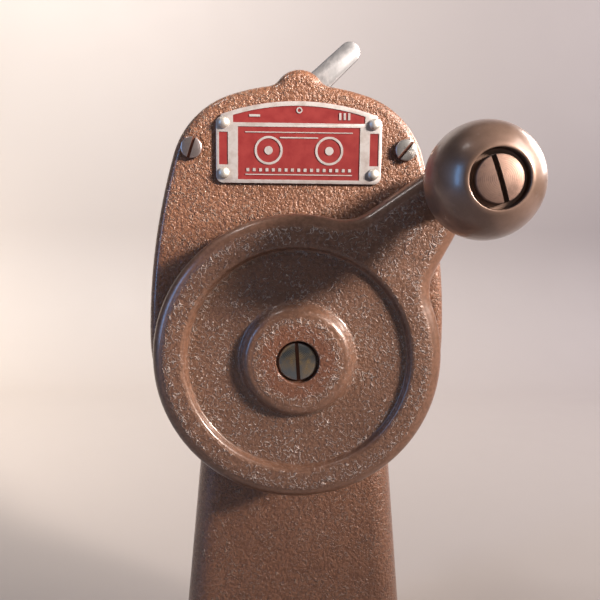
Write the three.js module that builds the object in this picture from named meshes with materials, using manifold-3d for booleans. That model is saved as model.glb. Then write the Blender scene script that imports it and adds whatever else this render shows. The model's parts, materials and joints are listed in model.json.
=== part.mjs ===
// A bench film rewind: a two-speed gear case on a hollow tapered column, a disc crank with a
// ball knob in front, a shift lever on top and a square reel spindle at the back.
// Millimetres. +X is right, +Y is away from the crank side, +Z is up.
// The origin is the middle of the foot's underside.
import * as THREE from "three";
import { mergeVertices } from "three/addons/utils/BufferGeometryUtils.js";
import Module from "manifold-3d";

const wasm = await Module();
wasm.setup();

const { degToRad, radToDeg, smoothstep } = THREE.MathUtils;
const UP = Math.PI / 2;
const DOWN = -Math.PI / 2;

// ---- Driving dimensions ----

// Gears. The tooth counts space the crank shaft and the spindle.
const GEAR_MODULE = 25.4 / 20;
const PRESSURE_ANGLE = degToRad(20);
const BACKLASH = 0.36;
const FAST_WHEEL_TEETH = 56;
const FAST_PINION_TEETH = 14;
const SLOW_TEETH = 35;

// Heights of the three shafts.
const CRANK_Z = 150;
const SPINDLE_Z = CRANK_Z + (GEAR_MODULE * (FAST_WHEEL_TEETH + FAST_PINION_TEETH)) / 2;
const SHIFT_Z = CRANK_Z + 80.7;

// Fits: GAP between faces, HOLE_GAP round a fixed shank, RUNNING round a shaft that turns.
// A cut, or a body that is joined on, runs PAST the face where it starts.
const GAP = 0.3;
const HOLE_GAP = 0.4;
const RUNNING = 0.3;
const PAST = 1;

// Gear case, seen from the front: arcs that run tangent into each other.
const CASE_FRONT = -24;
const PARTING = -14;
const CASE_BACK = 22;
const WALL = 4;
const CASE_EDGE = 3;
const BOTTOM_RADIUS = 48.4;
const BOTTOM_Z = CRANK_Z + 3;
const SIDE_RADIUS = 210;
const SHOULDER_RADIUS = 28;
const TOP_RADIUS = 70;
const TOP_Z = CRANK_Z + 14.5;
const LUG_RADIUS = 8.2;
const LUG_FILLET = 5;

// Column and foot.
const COLUMN_TOP = CRANK_Z - 32;
const COLUMN_HALF_WIDTH = 33.2;
const COLUMN_FRONT = PARTING + 1;
const COLUMN_BACK = CASE_BACK - 1;
const COLUMN_TAPER = 0.085;
const COLUMN_CORNER = 9;
const HOLLOW_TOP = COLUMN_TOP - 16;
const RIB_THICKNESS = 6;
const RIB_HEIGHT = 14;
const FOOT_WIDTH = 120;
const FOOT_DEPTH = 100;
const FOOT_THICKNESS = 8;
const FOOT_CORNER = 14;
const FOOT_HOLE_RADIUS = 2.8;
const FOOT_HOLE_INSET = 9;

// Cover screws, and the nameplate with its rivets: distances from the crank axis.
const SCREW_PLACES = [
  [-33.6, 64.3],
  [33.6, 64.3],
  [-33, -20],
  [33, -20],
];
const SCREW_TURNS = [18, 40, -35, 65].map(degToRad);
const SCREW_HEAD_RADIUS = 3.4;
const SCREW_HEAD_THICKNESS = 1.8;
const SCREW_SHANK_RADIUS = 2;
const SCREW_TIP = -4;
const SCREW_BOSS_RADIUS = 5;
const PLATE_HALF_WIDTH = 26;
const PLATE_BOTTOM = 53.5;
const PLATE_CORNER_TOP = 74;
const PLATE_ARCH_TOP = 78.8;
const PLATE_CORNER = 2.2;
const PLATE_THICKNESS = 0.8;
const RIVET_X = 23.5;
const RIVET_ROWS = [56.6, 72];
const RIVET_HEAD_RADIUS = 1.7;
const RIVET_HEAD_RISE = 1.1;
const RIVET_SHANK_RADIUS = 0.9;
const RIVET_HOLE_RADIUS = 1.2;

// Crank: disc, arm and ball knob.
const DISC_RADIUS = 44.2;
const DISC_BACK = -28.5;
const DISC_WEB_BACK = -33.6;
const DISC_FLOOR = -37.6;
const DISC_RIM_FRONT = -41.3;
const DISC_EDGE = 3.4;
const DISC_DISH_RADIUS = 33.6;
const DISC_DISH_LIP = 1.2;
const HUB_RADIUS = 16.2;
const HUB_FRONT = -42.8;
const HUB_BACK_RADIUS = 11;
const ARM_ANGLE = degToRad(49.3);
const ARM_TAPER = degToRad(14);
const ARM_REACH = 70.3;
const ARM_END_RADIUS = 7.5;
const ARM_FILLET = 13;
const ARM_RISE = 0.8;
const ARM_THICKNESS = 10;
const KNOB_RADIUS = 15;
const KNOB_Y = -68;
const KNOB_BACK = -43.7;
const KNOB_NECK_RADIUS = 6.6;
const KNOB_NECK_FLARE = 0.9;
const KNOB_BORE_RADIUS = 4.4;
const KNOB_COUNTERBORE = 4.8;
const KNOB_SHOULDER_RADIUS = 4;
const KNOB_THREAD_RADIUS = 3.2;
const BIG_SCREW_RADIUS = 5.85;
const BIG_SCREW_HEAD = 2.1;
const CRANK_SCREW_SHANK_RADIUS = 2.8;
const CRANK_SCREW_LENGTH = 14;

// Shafts, bushes, pins and keys.
const CRANK_SHAFT_RADIUS = 5;
const CRANK_SHAFT_FRONT = DISC_BACK - 8.2;
const CRANK_BUSH_RADIUS = 7;
const CRANK_FRONT_BUSH_START = CASE_FRONT - 3.3;
const CRANK_REAR_BUSH = [15.6, 21.2];
const CRANK_BOSS_RADIUS = 11;
const CRANK_KEY_SIDE = 3;
const CRANK_KEY_LENGTH = 7;
const SPINDLE_RADIUS = 4.76;
const SPINDLE_BODY_RADIUS = 5.4;
const SPINDLE_NOSE_RADIUS = 3.5;
const SPINDLE_NOSE_FRONT = CASE_FRONT + 1.7;
const SPINDLE_BUSH_RADIUS = 7;
const SPINDLE_REAR_BUSH = [15.9, 23.2];
const SPINDLE_FRONT_BUSH_RADIUS = 6;
const SPINDLE_FRONT_BUSH_BORE = 3.8;
const SPINDLE_BOSS_RADIUS = 9;
const REAR_BOSS_RADIUS = 12;
const INNER_BOSS_RADIUS = 10;
const TAPER_PIN_RADIUS = 1.5;
const TAPER_PIN_HALF_LENGTH = 8.8;
const SMALL_PIN_RADIUS = 1;

// Places along the shafts.
const SLOW_GEARS = [-18.5, -12.5];
const FAST_WHEEL = [7.6, 13.6];
const FAST_PINION = [6.9, 14.1];
const PINNED_HUB_RADIUS = 9;
const PINNED_HUB_LENGTH = 7;
const SLOW_HUB = [SLOW_GEARS[1], SLOW_GEARS[1] + PINNED_HUB_LENGTH];
const FAST_HUB = [FAST_WHEEL[0] - PINNED_HUB_LENGTH, FAST_WHEEL[0]];
const SLOW_PIN_Y = (SLOW_HUB[0] + SLOW_HUB[1]) / 2;
const FAST_PIN_Y = (FAST_HUB[0] + FAST_HUB[1]) / 2;
const PINION_HUB_FRONT = 3;
const PINION_HUB_RADIUS = 10;
const FRONT_BUSH_END = SLOW_GEARS[0] - 0.9;
const WASHER_GAP = 0.4;

// Dog collar between the two gears that run free on the spindle.
const COLLAR_Y = -1.15;
const COLLAR_LENGTH = 7.5;
const COLLAR_RADIUS = 11;
const GROOVE_RADIUS = 8.5;
const GROOVE_WIDTH = 3.6;
const DOG_LENGTH = 3;
const DOG_COUNT = 4;
const DOG_INNER = 6;
const DOG_OUTER = 8.6;
const DOG_WIDTH = degToRad(30);
const POCKET_WIDTH = degToRad(42);
const KEY_Y = (SLOW_GEARS[1] + PINION_HUB_FRONT) / 2;
const KEY_LENGTH = PINION_HUB_FRONT - SLOW_GEARS[1] - 1.8;
const KEY_WIDTH = 2.4;
const KEY_BOTTOM = 3.7;
const KEY_TOP = 6.7;

// Spindle end behind the case.
const FLANGE = [28, 30.5];
const FLANGE_RADIUS = 20;
const FLANGE_HUB_RADIUS = 10;
const SET_SCREW_Y = CASE_BACK + 4;
const SET_SCREW_RADIUS = 1.3;
const SPINDLE_SQUARE = 7.9;
const SPINDLE_END = 56;
const LATCH_SLOT_WIDTH = 2.8;
const LATCH_SLOT_DEPTH = 8;
const LATCH_PIVOT_Y = SPINDLE_END - 4.2;
const LATCH_THICKNESS = 2;
const LATCH_WIDTH = 6;
const LATCH_LENGTH = 14;
const LATCH_PIN_HALF_LENGTH = 3.9;

// Shift: the lever leans LEVER_ANGLE from upright for fast, and LEVER_SWEEP back for slow.
const SHIFT_SHAFT_RADIUS = 3;
const SHIFT_SHAFT_FRONT = CASE_FRONT + 3.4;
const LEVER_ANGLE = degToRad(46.6);
const LEVER_SWEEP = degToRad(93.2);
const LEVER_REACH = 25.9;
const LEVER_TIP_WIDTH = 6.9;
const LEVER_PLATE = [-13.6, -11.7];
const LEVER_HUB_RADIUS = 5.2;
const LEVER_PIN_Y = PARTING - 3.4;
const LEVER_SLOT_WIDTH = 22;
const FORK_TRAVEL = 7.2;
const FORK_THICKNESS = 3;
const FORK_OUTER_RADIUS = 14;
const FORK_LEG = 6;
const FORK_ARM_WIDTH = 9;
const SLEEVE_RADIUS = 5.6;
const SLEEVE_FRONT = -3.9;
const SLEEVE_BACK = 11.5;
const SLEEVE_BORE_BACK = SLEEVE_BACK + 0.8;
const CAM_PIN_Y = 1.9;
const CAM_SLOT_RADIUS = 1.5;

// ---- Geometry helpers ----

const vec = (x, y) => new THREE.Vector2(x, y);

function solid(geometry) {
  const bare = geometry.index ? geometry.toNonIndexed() : geometry.clone();
  bare.deleteAttribute("normal");
  bare.deleteAttribute("uv");
  const merged = mergeVertices(bare, 1e-4);
  const vertProperties = new Float32Array(merged.attributes.position.array);
  const triVerts = new Uint32Array(merged.index.array);
  return new wasm.Manifold(new wasm.Mesh({ numProp: 3, vertProperties, triVerts }));
}

function geometryOf(body) {
  const { vertProperties, triVerts } = body.getMesh();
  const geometry = new THREE.BufferGeometry();
  geometry.setAttribute("position", new THREE.BufferAttribute(new Float32Array(vertProperties), 3));
  geometry.setIndex(new THREE.BufferAttribute(new Uint32Array(triVerts), 1));
  geometry.computeVertexNormals();
  return geometry;
}

function arc(centre, radius, from, to, steps, clockwise = false) {
  const curve = new THREE.EllipseCurve(
    centre.x, centre.y, radius, radius, from, to, clockwise, 0);
  return curve.getPoints(steps);
}

// The point at given distances from a and b, on the left of the way from a to b.
function meet(a, fromA, b, fromB) {
  const way = b.clone().sub(a);
  const apart = way.length();
  const along = (fromA ** 2 - fromB ** 2 + apart ** 2) / (2 * apart);
  const across = Math.sqrt(fromA ** 2 - along ** 2);
  way.divideScalar(apart);
  return a.clone().addScaledVector(way, along).addScaledVector(vec(-way.y, way.x), across);
}

const angleFrom = (a, b) => Math.atan2(b.y - a.y, b.x - a.x);

function shapeOf(points) {
  const kept = points.filter(
    (p, i) => p.distanceTo(points[(i + points.length - 1) % points.length]) > 1e-3);
  return new THREE.Shape(kept);
}

const mirrored = (half) => [...half, ...half.map((p) => vec(-p.x, p.y)).reverse()];

// A plate whose outline is drawn in X and Z, between two depths.
function plate(shape, front, back) {
  const geometry = new THREE.ExtrudeGeometry(shape, { depth: back - front, bevelEnabled: false });
  return solid(geometry.rotateX(Math.PI / 2).translate(0, back, 0));
}

function rod(radius, front, back, segments = 20, x = 0, z = 0) {
  const geometry = new THREE.CylinderGeometry(radius, radius, back - front, segments);
  return solid(geometry.translate(x, (front + back) / 2, z));
}

function ring(outer, inner, front, back, segments = 16) {
  return rod(outer, front, back, segments).subtract(rod(inner, front - 1, back + 1, segments));
}

// A solid turned about the Y axis from radius and depth pairs, listed from the front.
function turned(profile, segments = 48) {
  const points = profile.map(([radius, y]) => vec(radius, y));
  return solid(new THREE.LatheGeometry(points, segments));
}

function box(width, depth, height, x, y, z) {
  return solid(new THREE.BoxGeometry(width, depth, height).translate(x, y, z));
}

// A pin across a shaft, through the axis at depth y. angle 0 points up, and turns towards +X.
function crossPin(radius, from, to, y, angle, segments = 16) {
  const geometry = new THREE.CylinderGeometry(radius, radius, to - from, segments);
  geometry.rotateX(Math.PI / 2).translate(0, 0, (from + to) / 2);
  return solid(geometry.rotateY(angle).translate(0, y, 0));
}

// A hole right through a shaft for such a pin.
const pinHole = (radius, y, angle) => crossPin(radius + GAP, -20, 20, y, angle);

function union(bodies) {
  return bodies.reduce((sum, body) => sum.add(body));
}

function add(group, name, body, finish) {
  const mesh = new THREE.Mesh(geometryOf(body), new THREE.MeshStandardMaterial(finish));
  mesh.name = name;
  group.add(mesh);
}

function roundedRectangle(halfWidth, front, back, corner, steps = 4) {
  const right = halfWidth - corner;
  const turn = Math.PI / 2;
  const corners = [
    [right, front + corner, -turn],
    [right, back - corner, 0],
    [-right, back - corner, turn],
    [-right, front + corner, 2 * turn],
  ];
  return shapeOf(corners.flatMap(([x, y, a]) => arc(vec(x, y), corner, a, a + turn, steps)));
}

// ---- Finishes ----

const enamel = { color: 0x7b5238, roughness: 0.45, metalness: 0.25 };
const lacquer = { color: 0x7d5f4a, roughness: 0.3, metalness: 0.6 };
const steel = { color: 0x9a958c, roughness: 0.35, metalness: 1 };
const tarnished = { color: 0x9c8468, roughness: 0.35, metalness: 1 };
const plated = { color: 0xa8a59e, roughness: 0.5, metalness: 1 };
const gearSteel = { color: 0x83807a, roughness: 0.4, metalness: 1 };
const bronze = { color: 0xa9793f, roughness: 0.4, metalness: 1 };
const aluminium = { color: 0xc2c2c0, roughness: 0.35, metalness: 1 };
const signRed = { color: 0x8e2a20, roughness: 0.4, metalness: 0 };

// ---- Gear case ----

// The case outline in X and Z, drawn in by inset. The lug carries the shift shaft.
function caseOutline(inset, withLug) {
  const bottom = vec(0, BOTTOM_Z);
  const side = vec(BOTTOM_RADIUS - SIDE_RADIUS, BOTTOM_Z);
  const top = vec(0, TOP_Z);
  const lug = vec(0, SHIFT_Z);
  const shoulder = meet(side, SIDE_RADIUS - SHOULDER_RADIUS, top, TOP_RADIUS - SHOULDER_RADIUS);
  const sideEnd = angleFrom(side, shoulder);
  const shoulderEnd = angleFrom(top, shoulder);
  const half = [
    ...arc(bottom, BOTTOM_RADIUS - inset, DOWN, 0, 10),
    ...arc(side, SIDE_RADIUS - inset, 0, sideEnd, 3),
    ...arc(shoulder, SHOULDER_RADIUS - inset, sideEnd, shoulderEnd, 6),
  ];
  if (withLug) {
    const fillet = meet(lug, LUG_RADIUS + LUG_FILLET, top, TOP_RADIUS + LUG_FILLET);
    const topEnd = angleFrom(top, fillet);
    const lugStart = angleFrom(lug, fillet);
    half.push(
      ...arc(top, TOP_RADIUS - inset, shoulderEnd, topEnd, 3),
      ...arc(fillet, LUG_FILLET + inset, topEnd + Math.PI, lugStart + Math.PI, 3, true),
      ...arc(lug, LUG_RADIUS - inset, lugStart, UP, 3),
    );
  } else {
    half.push(...arc(top, TOP_RADIUS - inset, shoulderEnd, UP, 4));
  }
  return shapeOf(mirrored(half));
}

// The case outline between two depths, with a rounded edge at the depth called rounded.
function caseBlock(sharp, rounded) {
  const front = Math.min(sharp, rounded);
  const back = Math.max(sharp, rounded);
  const spare = 4 * CASE_EDGE;
  const from = sharp < rounded ? front - spare : front;
  const to = sharp < rounded ? back : back + spare;
  const geometry = new THREE.ExtrudeGeometry(caseOutline(0, true), {
    depth: to - from - 2 * CASE_EDGE,
    bevelThickness: CASE_EDGE,
    bevelSize: CASE_EDGE,
    bevelOffset: -CASE_EDGE,
    bevelSegments: 2,
  });
  geometry.rotateX(Math.PI / 2).translate(0, to - CASE_EDGE, 0);
  const span = 2 * CRANK_Z;
  return solid(geometry).intersect(
    box(span, back - front, span, 0, (front + back) / 2, CRANK_Z));
}

function rodsAtScrews(radius, front, back) {
  return union(SCREW_PLACES.map(([x, z]) => rod(radius, front, back, 12, x, CRANK_Z + z)));
}

function rivetHoles(crankZ, front, back) {
  return union(RIVET_ROWS.flatMap((row) => [-RIVET_X, RIVET_X].map(
    (x) => rod(RIVET_HOLE_RADIUS, front, back, 8, x, crankZ + row))));
}

function gearcaseCover() {
  const back = PARTING - GAP / 2;
  const inside = CASE_FRONT + WALL;
  const block = caseBlock(back, CASE_FRONT);
  const screwBosses = rodsAtScrews(SCREW_BOSS_RADIUS, inside - PAST, back).intersect(block);
  const crankBoss = rod(CRANK_BOSS_RADIUS, CASE_FRONT - 3, inside + 0.6, 24, 0, CRANK_Z);
  const spindleBoss = rod(SPINDLE_BOSS_RADIUS, inside - PAST, inside + 0.8, 20, 0, SPINDLE_Z);
  const spindleBore = SPINDLE_FRONT_BUSH_RADIUS + GAP;
  return block
    .subtract(plate(caseOutline(WALL, false), inside, back + PAST))
    .add(screwBosses)
    .add(crankBoss)
    .add(spindleBoss)
    .subtract(rod(CRANK_BUSH_RADIUS + GAP, CASE_FRONT - 4, back, 20, 0, CRANK_Z))
    .subtract(rod(spindleBore, SPINDLE_NOSE_FRONT - 0.5, back, 20, 0, SPINDLE_Z))
    .subtract(rod(LEVER_HUB_RADIUS + RUNNING, CASE_FRONT + 3, back + PAST, 20, 0, SHIFT_Z))
    .subtract(rodsAtScrews(SCREW_SHANK_RADIUS + HOLE_GAP, CASE_FRONT - PAST, back + PAST))
    .subtract(rivetHoles(CRANK_Z, CASE_FRONT - PAST, CASE_FRONT + 3));
}

// A solid column between z = from and z = to, drawn in by inset, wider towards the foot.
function column(inset, from, to) {
  const middle = (COLUMN_FRONT + COLUMN_BACK) / 2;
  const outline = roundedRectangle(
    COLUMN_HALF_WIDTH - inset, COLUMN_FRONT + inset, COLUMN_BACK - inset, COLUMN_CORNER - inset);
  const geometry = new THREE.ExtrudeGeometry(outline, { depth: to - from, bevelEnabled: false });
  geometry.translate(0, 0, from);
  const place = geometry.attributes.position;
  for (let i = 0; i < place.count; i += 1) {
    const spread = COLUMN_TAPER * (COLUMN_TOP - place.getZ(i));
    place.setX(i, place.getX(i) + Math.sign(place.getX(i)) * spread);
    place.setY(i, place.getY(i) + Math.sign(place.getY(i) - middle) * spread);
  }
  return solid(geometry);
}

function footFlange() {
  const half = FOOT_DEPTH / 2;
  const outline = roundedRectangle(FOOT_WIDTH / 2, -half, half, FOOT_CORNER);
  const flange = solid(
    new THREE.ExtrudeGeometry(outline, { depth: FOOT_THICKNESS, bevelEnabled: false }));
  const holeX = FOOT_WIDTH / 2 - FOOT_HOLE_INSET;
  const holeY = half - FOOT_HOLE_INSET;
  const length = 3 * FOOT_THICKNESS;
  const holes = [-1, 1].flatMap((sx) => [-1, 1].map((sy) => {
    const hole = new THREE.CylinderGeometry(FOOT_HOLE_RADIUS, FOOT_HOLE_RADIUS, length, 12);
    return solid(hole.rotateX(Math.PI / 2).translate(sx * holeX, sy * holeY, 0));
  }));
  return flange.subtract(union(holes));
}

// The opening in the casting's front edge that the shift lever swings in.
function leverSlot(front) {
  const back = LEVER_PLATE[1] + GAP;
  const bottom = SHIFT_Z - LEVER_HUB_RADIUS - 2 * GAP;
  const height = 40;
  return box(LEVER_SLOT_WIDTH, back - front, height, 0, (back + front) / 2, bottom + height / 2);
}

function columnCasting() {
  const front = PARTING + GAP / 2;
  const inside = CASE_BACK - WALL;
  const block = caseBlock(front, CASE_BACK);
  const crankRear = CRANK_REAR_BUSH[0] - GAP;
  const spindleRear = SPINDLE_REAR_BUSH[0] - GAP;
  const bosses = rodsAtScrews(SCREW_BOSS_RADIUS, front, 3)
    .add(rod(LUG_RADIUS, SLEEVE_BORE_BACK, inside + PAST, 20, 0, SHIFT_Z))
    .intersect(block)
    .add(rod(INNER_BOSS_RADIUS, crankRear, inside + PAST, 20, 0, CRANK_Z))
    .add(rod(INNER_BOSS_RADIUS, spindleRear, inside + PAST, 20, 0, SPINDLE_Z));
  const rearBoss = (rise, z) =>
    rod(REAR_BOSS_RADIUS, CASE_BACK - PAST, CASE_BACK + rise, 28, 0, z);
  const ribWidth = 2 * COLUMN_HALF_WIDTH + 14;
  return block
    .add(column(0, 0, COLUMN_TOP))
    .add(footFlange())
    .subtract(column(WALL, -PAST, HOLLOW_TOP))
    .add(box(ribWidth, RIB_THICKNESS, RIB_HEIGHT, 0, 0, RIB_HEIGHT / 2))
    .subtract(plate(caseOutline(WALL, false), front - PAST, inside))
    .add(bosses)
    .add(rearBoss(2.5, CRANK_Z))
    .add(rearBoss(1.4, SPINDLE_Z))
    .subtract(rod(CRANK_BUSH_RADIUS + GAP, 10, CRANK_REAR_BUSH[1] + GAP, 20, 0, CRANK_Z))
    .subtract(rod(SPINDLE_BUSH_RADIUS + GAP, 10, CASE_BACK + 3, 20, 0, SPINDLE_Z))
    .subtract(rod(SLEEVE_RADIUS + 0.8, front - PAST, SLEEVE_BORE_BACK, 20, 0, SHIFT_Z))
    .subtract(rod(SHIFT_SHAFT_RADIUS + RUNNING, 10, inside + 1.2, 20, 0, SHIFT_Z))
    .subtract(rodsAtScrews(SCREW_SHANK_RADIUS + HOLE_GAP, front - PAST, SCREW_TIP + 1))
    .subtract(leverSlot(front - PAST));
}

// A slotted cheese-head screw along Y, its head towards the front.
function slottedScrew({ headRadius, front, head, shankRadius, tip, slot, turn }) {
  const edge = 0.5;
  const segments = headRadius > SCREW_HEAD_RADIUS ? 24 : 16;
  const body = turned([
    [0, front],
    [headRadius - edge, front],
    [headRadius, front + edge],
    [headRadius, front + head],
    [shankRadius, front + head],
    [shankRadius, tip],
    [0, tip],
  ], segments);
  const cut = new THREE.BoxGeometry(slot, head, 3 * headRadius);
  return body.subtract(solid(cut.rotateY(turn).translate(0, front, 0)));
}

function nameplate() {
  const back = CASE_FRONT - GAP;
  const inner = PLATE_HALF_WIDTH - PLATE_CORNER;
  const rise = PLATE_ARCH_TOP - PLATE_CORNER_TOP;
  const radius = (PLATE_HALF_WIDTH ** 2 + rise ** 2) / (2 * rise);
  const centre = vec(0, PLATE_ARCH_TOP - radius);
  const start = Math.acos((inner + 0.6) / radius);
  const outline = shapeOf(mirrored([
    ...arc(vec(inner, PLATE_BOTTOM + PLATE_CORNER), PLATE_CORNER, DOWN, 0, 4),
    ...arc(vec(inner, PLATE_CORNER_TOP - PLATE_CORNER), PLATE_CORNER, 0, start, 4),
    ...arc(centre, radius, start, UP, 6),
  ]));
  return plate(outline, back - PLATE_THICKNESS, back)
    .subtract(rivetHoles(0, back - PLATE_THICKNESS - PAST, back + PAST));
}

function driveRivet() {
  const seat = CASE_FRONT - 2 * GAP - PLATE_THICKNESS;
  const tip = CASE_FRONT + 2.5;
  const crown = arc(vec(0, 0), 1, UP, 0, 3, true);
  return turned([
    ...crown.map((p) => [RIVET_HEAD_RADIUS * p.x, seat - RIVET_HEAD_RISE * p.y]),
    [RIVET_SHANK_RADIUS, seat],
    [RIVET_SHANK_RADIUS, tip],
    [0, tip],
  ], 10);
}

// ---- Gears ----

const involute = (angle) => Math.tan(angle) - angle;

// An involute gear outline, thinned for backlash. phase turns its first tooth from +X.
function gearOutline(teeth, phase) {
  const pitch = (GEAR_MODULE * teeth) / 2;
  const base = pitch * Math.cos(PRESSURE_ANGLE);
  const tip = pitch + 0.92 * GEAR_MODULE;
  const root = pitch - 1.3 * GEAR_MODULE;
  const halfAtPitch = ((Math.PI * GEAR_MODULE) / 2 - BACKLASH) / 2 / pitch;
  const halfAt = (radius) =>
    halfAtPitch + involute(PRESSURE_ANGLE) - involute(Math.acos(Math.min(1, base / radius)));
  const flank = [root, pitch, tip];
  const points = [];
  for (let tooth = 0; tooth < teeth; tooth += 1) {
    const centre = phase + (2 * Math.PI * tooth) / teeth;
    const at = (radius, side) => {
      const angle = centre + side * halfAt(radius);
      return vec(radius * Math.cos(angle), radius * Math.sin(angle));
    };
    points.push(...flank.map((radius) => at(radius, -1)));
    points.push(...flank.toReversed().map((radius) => at(radius, 1)));
  }
  return shapeOf(points);
}

// A gear whose lowest tooth space faces the driving wheel below it.
function drivenGear(teeth, span) {
  return plate(gearOutline(teeth, DOWN + Math.PI / teeth), ...span)
    .subtract(rod(SPINDLE_RADIUS + RUNNING, span[0] - PAST, span[1] + PAST));
}

// A driving wheel pinned to the crank shaft through its hub.
function drivingWheel(teeth, span, hub, pinY) {
  const front = Math.min(span[0], hub[0]);
  const back = Math.max(span[1], hub[1]);
  return plate(gearOutline(teeth, UP), ...span)
    .add(rod(PINNED_HUB_RADIUS, front, back))
    .subtract(rod(CRANK_SHAFT_RADIUS + GAP, front - PAST, back + PAST))
    .subtract(pinHole(TAPER_PIN_RADIUS, pinY, UP));
}

// Sector-shaped dogs, or the pockets that they enter, standing round the axis.
function dogRing(inner, outer, width, front, back) {
  const half = width / 2;
  const centre = vec(0, 0);
  const dogs = [];
  for (let i = 0; i < DOG_COUNT; i += 1) {
    const middle = UP + (2 * Math.PI * i) / DOG_COUNT;
    const outline = shapeOf([
      ...arc(centre, outer, middle - half, middle + half, 4),
      ...arc(centre, inner, middle + half, middle - half, 3, true),
    ]);
    dogs.push(plate(outline, front, back));
  }
  return union(dogs);
}

function pockets(front, back) {
  return dogRing(SPINDLE_RADIUS, DOG_OUTER + 0.4, POCKET_WIDTH, front, back);
}

function fastPinion() {
  const pocketBack = PINION_HUB_FRONT + DOG_LENGTH + GAP;
  return plate(gearOutline(FAST_PINION_TEETH, DOWN + Math.PI / FAST_PINION_TEETH), ...FAST_PINION)
    .add(rod(PINION_HUB_RADIUS, PINION_HUB_FRONT, FAST_PINION[0] + 0.1))
    .subtract(rod(SPINDLE_RADIUS + RUNNING, 0, FAST_PINION[1] + PAST))
    .subtract(pockets(PINION_HUB_FRONT - PAST, pocketBack));
}

function slowGear() {
  const pocketFront = SLOW_GEARS[1] - DOG_LENGTH - GAP;
  return drivenGear(SLOW_TEETH, SLOW_GEARS).subtract(pockets(pocketFront, SLOW_GEARS[1] + PAST));
}

// ---- Crank ----

// A keyway along Y, cut into a shaft or a bore at the top.
function crankKeyway(length) {
  return box(CRANK_KEY_SIDE + 2 * GAP, length, CRANK_KEY_SIDE + 1, 0, DISC_BACK - length / 2,
    CRANK_SHAFT_RADIUS + 0.1);
}

function crankDisc() {
  const rim = arc(vec(DISC_RADIUS - DISC_EDGE, DISC_RIM_FRONT + DISC_EDGE), DISC_EDGE,
    1.5 * Math.PI, 2 * Math.PI, 3).map((p) => [p.x, p.y]);
  const disc = turned([
    [0, HUB_FRONT],
    [HUB_RADIUS - 2.4, HUB_FRONT],
    [HUB_RADIUS - 0.7, HUB_FRONT + 0.7],
    [HUB_RADIUS, HUB_FRONT + 2.4],
    [HUB_RADIUS + 2, DISC_FLOOR],
    [DISC_DISH_RADIUS - DISC_DISH_LIP, DISC_FLOOR],
    [DISC_DISH_RADIUS, DISC_FLOOR - DISC_DISH_LIP],
    [DISC_DISH_RADIUS + DISC_DISH_LIP, DISC_RIM_FRONT],
    ...rim,
    [DISC_RADIUS, DISC_BACK],
    [DISC_RADIUS - WALL, DISC_BACK],
    [DISC_RADIUS - WALL - 1, DISC_WEB_BACK],
    [HUB_BACK_RADIUS + 1, DISC_WEB_BACK],
    [HUB_BACK_RADIUS, DISC_BACK],
    [0, DISC_BACK],
  ], 40);
  return disc
    .add(crankArm())
    .subtract(rod(CRANK_SHAFT_RADIUS + GAP, CRANK_SHAFT_FRONT - GAP, DISC_BACK + PAST))
    .subtract(rod(CRANK_SCREW_SHANK_RADIUS + HOLE_GAP, HUB_FRONT - PAST, DISC_BACK))
    .subtract(rod(BIG_SCREW_RADIUS + 1, HUB_FRONT - PAST, HUB_FRONT + 2.9))
    .subtract(crankKeyway(CRANK_KEY_LENGTH + 1.5));
}

// The arm's outline from the crank axis, with the arm along +X.
function armPlan() {
  const slope = vec(Math.sin(ARM_TAPER), Math.cos(ARM_TAPER));
  const backwards = vec(-slope.y, slope.x);
  const end = vec(ARM_REACH, 0);
  const offset = end.clone().addScaledVector(slope, ARM_END_RADIUS + ARM_FILLET);
  const reach = DISC_RADIUS + ARM_FILLET;
  const lean = offset.dot(backwards);
  const run = -lean - Math.sqrt(lean ** 2 - offset.lengthSq() + reach ** 2);
  const fillet = offset.clone().addScaledVector(backwards, run);
  const half = [
    ...arc(end, ARM_END_RADIUS, 0, UP - ARM_TAPER, 6),
    ...arc(fillet, ARM_FILLET, DOWN - ARM_TAPER, angleFrom(fillet, vec(0, 0)), 4, true),
  ];
  const lower = half.map((p) => vec(p.x, -p.y)).reverse();
  return shapeOf([vec(0, 0), ...lower, ...half]);
}

// The arm seen from its side: it rises from the disc rim to the knob's seat.
function armSide() {
  const steps = 6;
  const from = DISC_RADIUS + 1;
  const to = ARM_REACH - KNOB_NECK_RADIUS;
  const face = [vec(0, 0)];
  for (let i = 0; i <= steps; i += 1) {
    const part = i / steps;
    face.push(vec(from + (to - from) * part, ARM_RISE * smoothstep(part, 0, 1)));
  }
  face.push(vec(ARM_REACH + 2 * ARM_END_RADIUS, ARM_RISE));
  const front = face.map((p) => vec(p.x, DISC_RIM_FRONT - p.y));
  const back = front.map((p) => vec(p.x, p.y + ARM_THICKNESS)).reverse();
  return shapeOf([...front, ...back]);
}

function crankArm() {
  const width = 3 * DISC_RADIUS;
  const side = new THREE.ExtrudeGeometry(armSide(), { depth: width, bevelEnabled: false });
  const arm = plate(armPlan(), DISC_RIM_FRONT - 10, DISC_BACK)
    .intersect(solid(side.translate(0, 0, -width / 2)))
    .subtract(rod(DISC_DISH_RADIUS + PAST, DISC_RIM_FRONT - PAST, DISC_BACK + PAST, 40))
    .subtract(rod(KNOB_THREAD_RADIUS + GAP, KNOB_Y, DISC_BACK, 24, ARM_REACH, 0));
  return arm.rotate([0, radToDeg(-ARM_ANGLE), 0]);
}

function crankShaft() {
  const screwHole = CRANK_SCREW_SHANK_RADIUS + GAP;
  return rod(CRANK_SHAFT_RADIUS, CRANK_SHAFT_FRONT, CRANK_REAR_BUSH[1] - 0.4)
    .subtract(rod(screwHole, CRANK_SHAFT_FRONT - PAST, CRANK_SHAFT_FRONT + 10))
    .subtract(crankKeyway(CRANK_KEY_LENGTH + 2 * GAP))
    .subtract(pinHole(TAPER_PIN_RADIUS, SLOW_PIN_Y, UP))
    .subtract(pinHole(TAPER_PIN_RADIUS, FAST_PIN_Y, UP));
}

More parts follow.
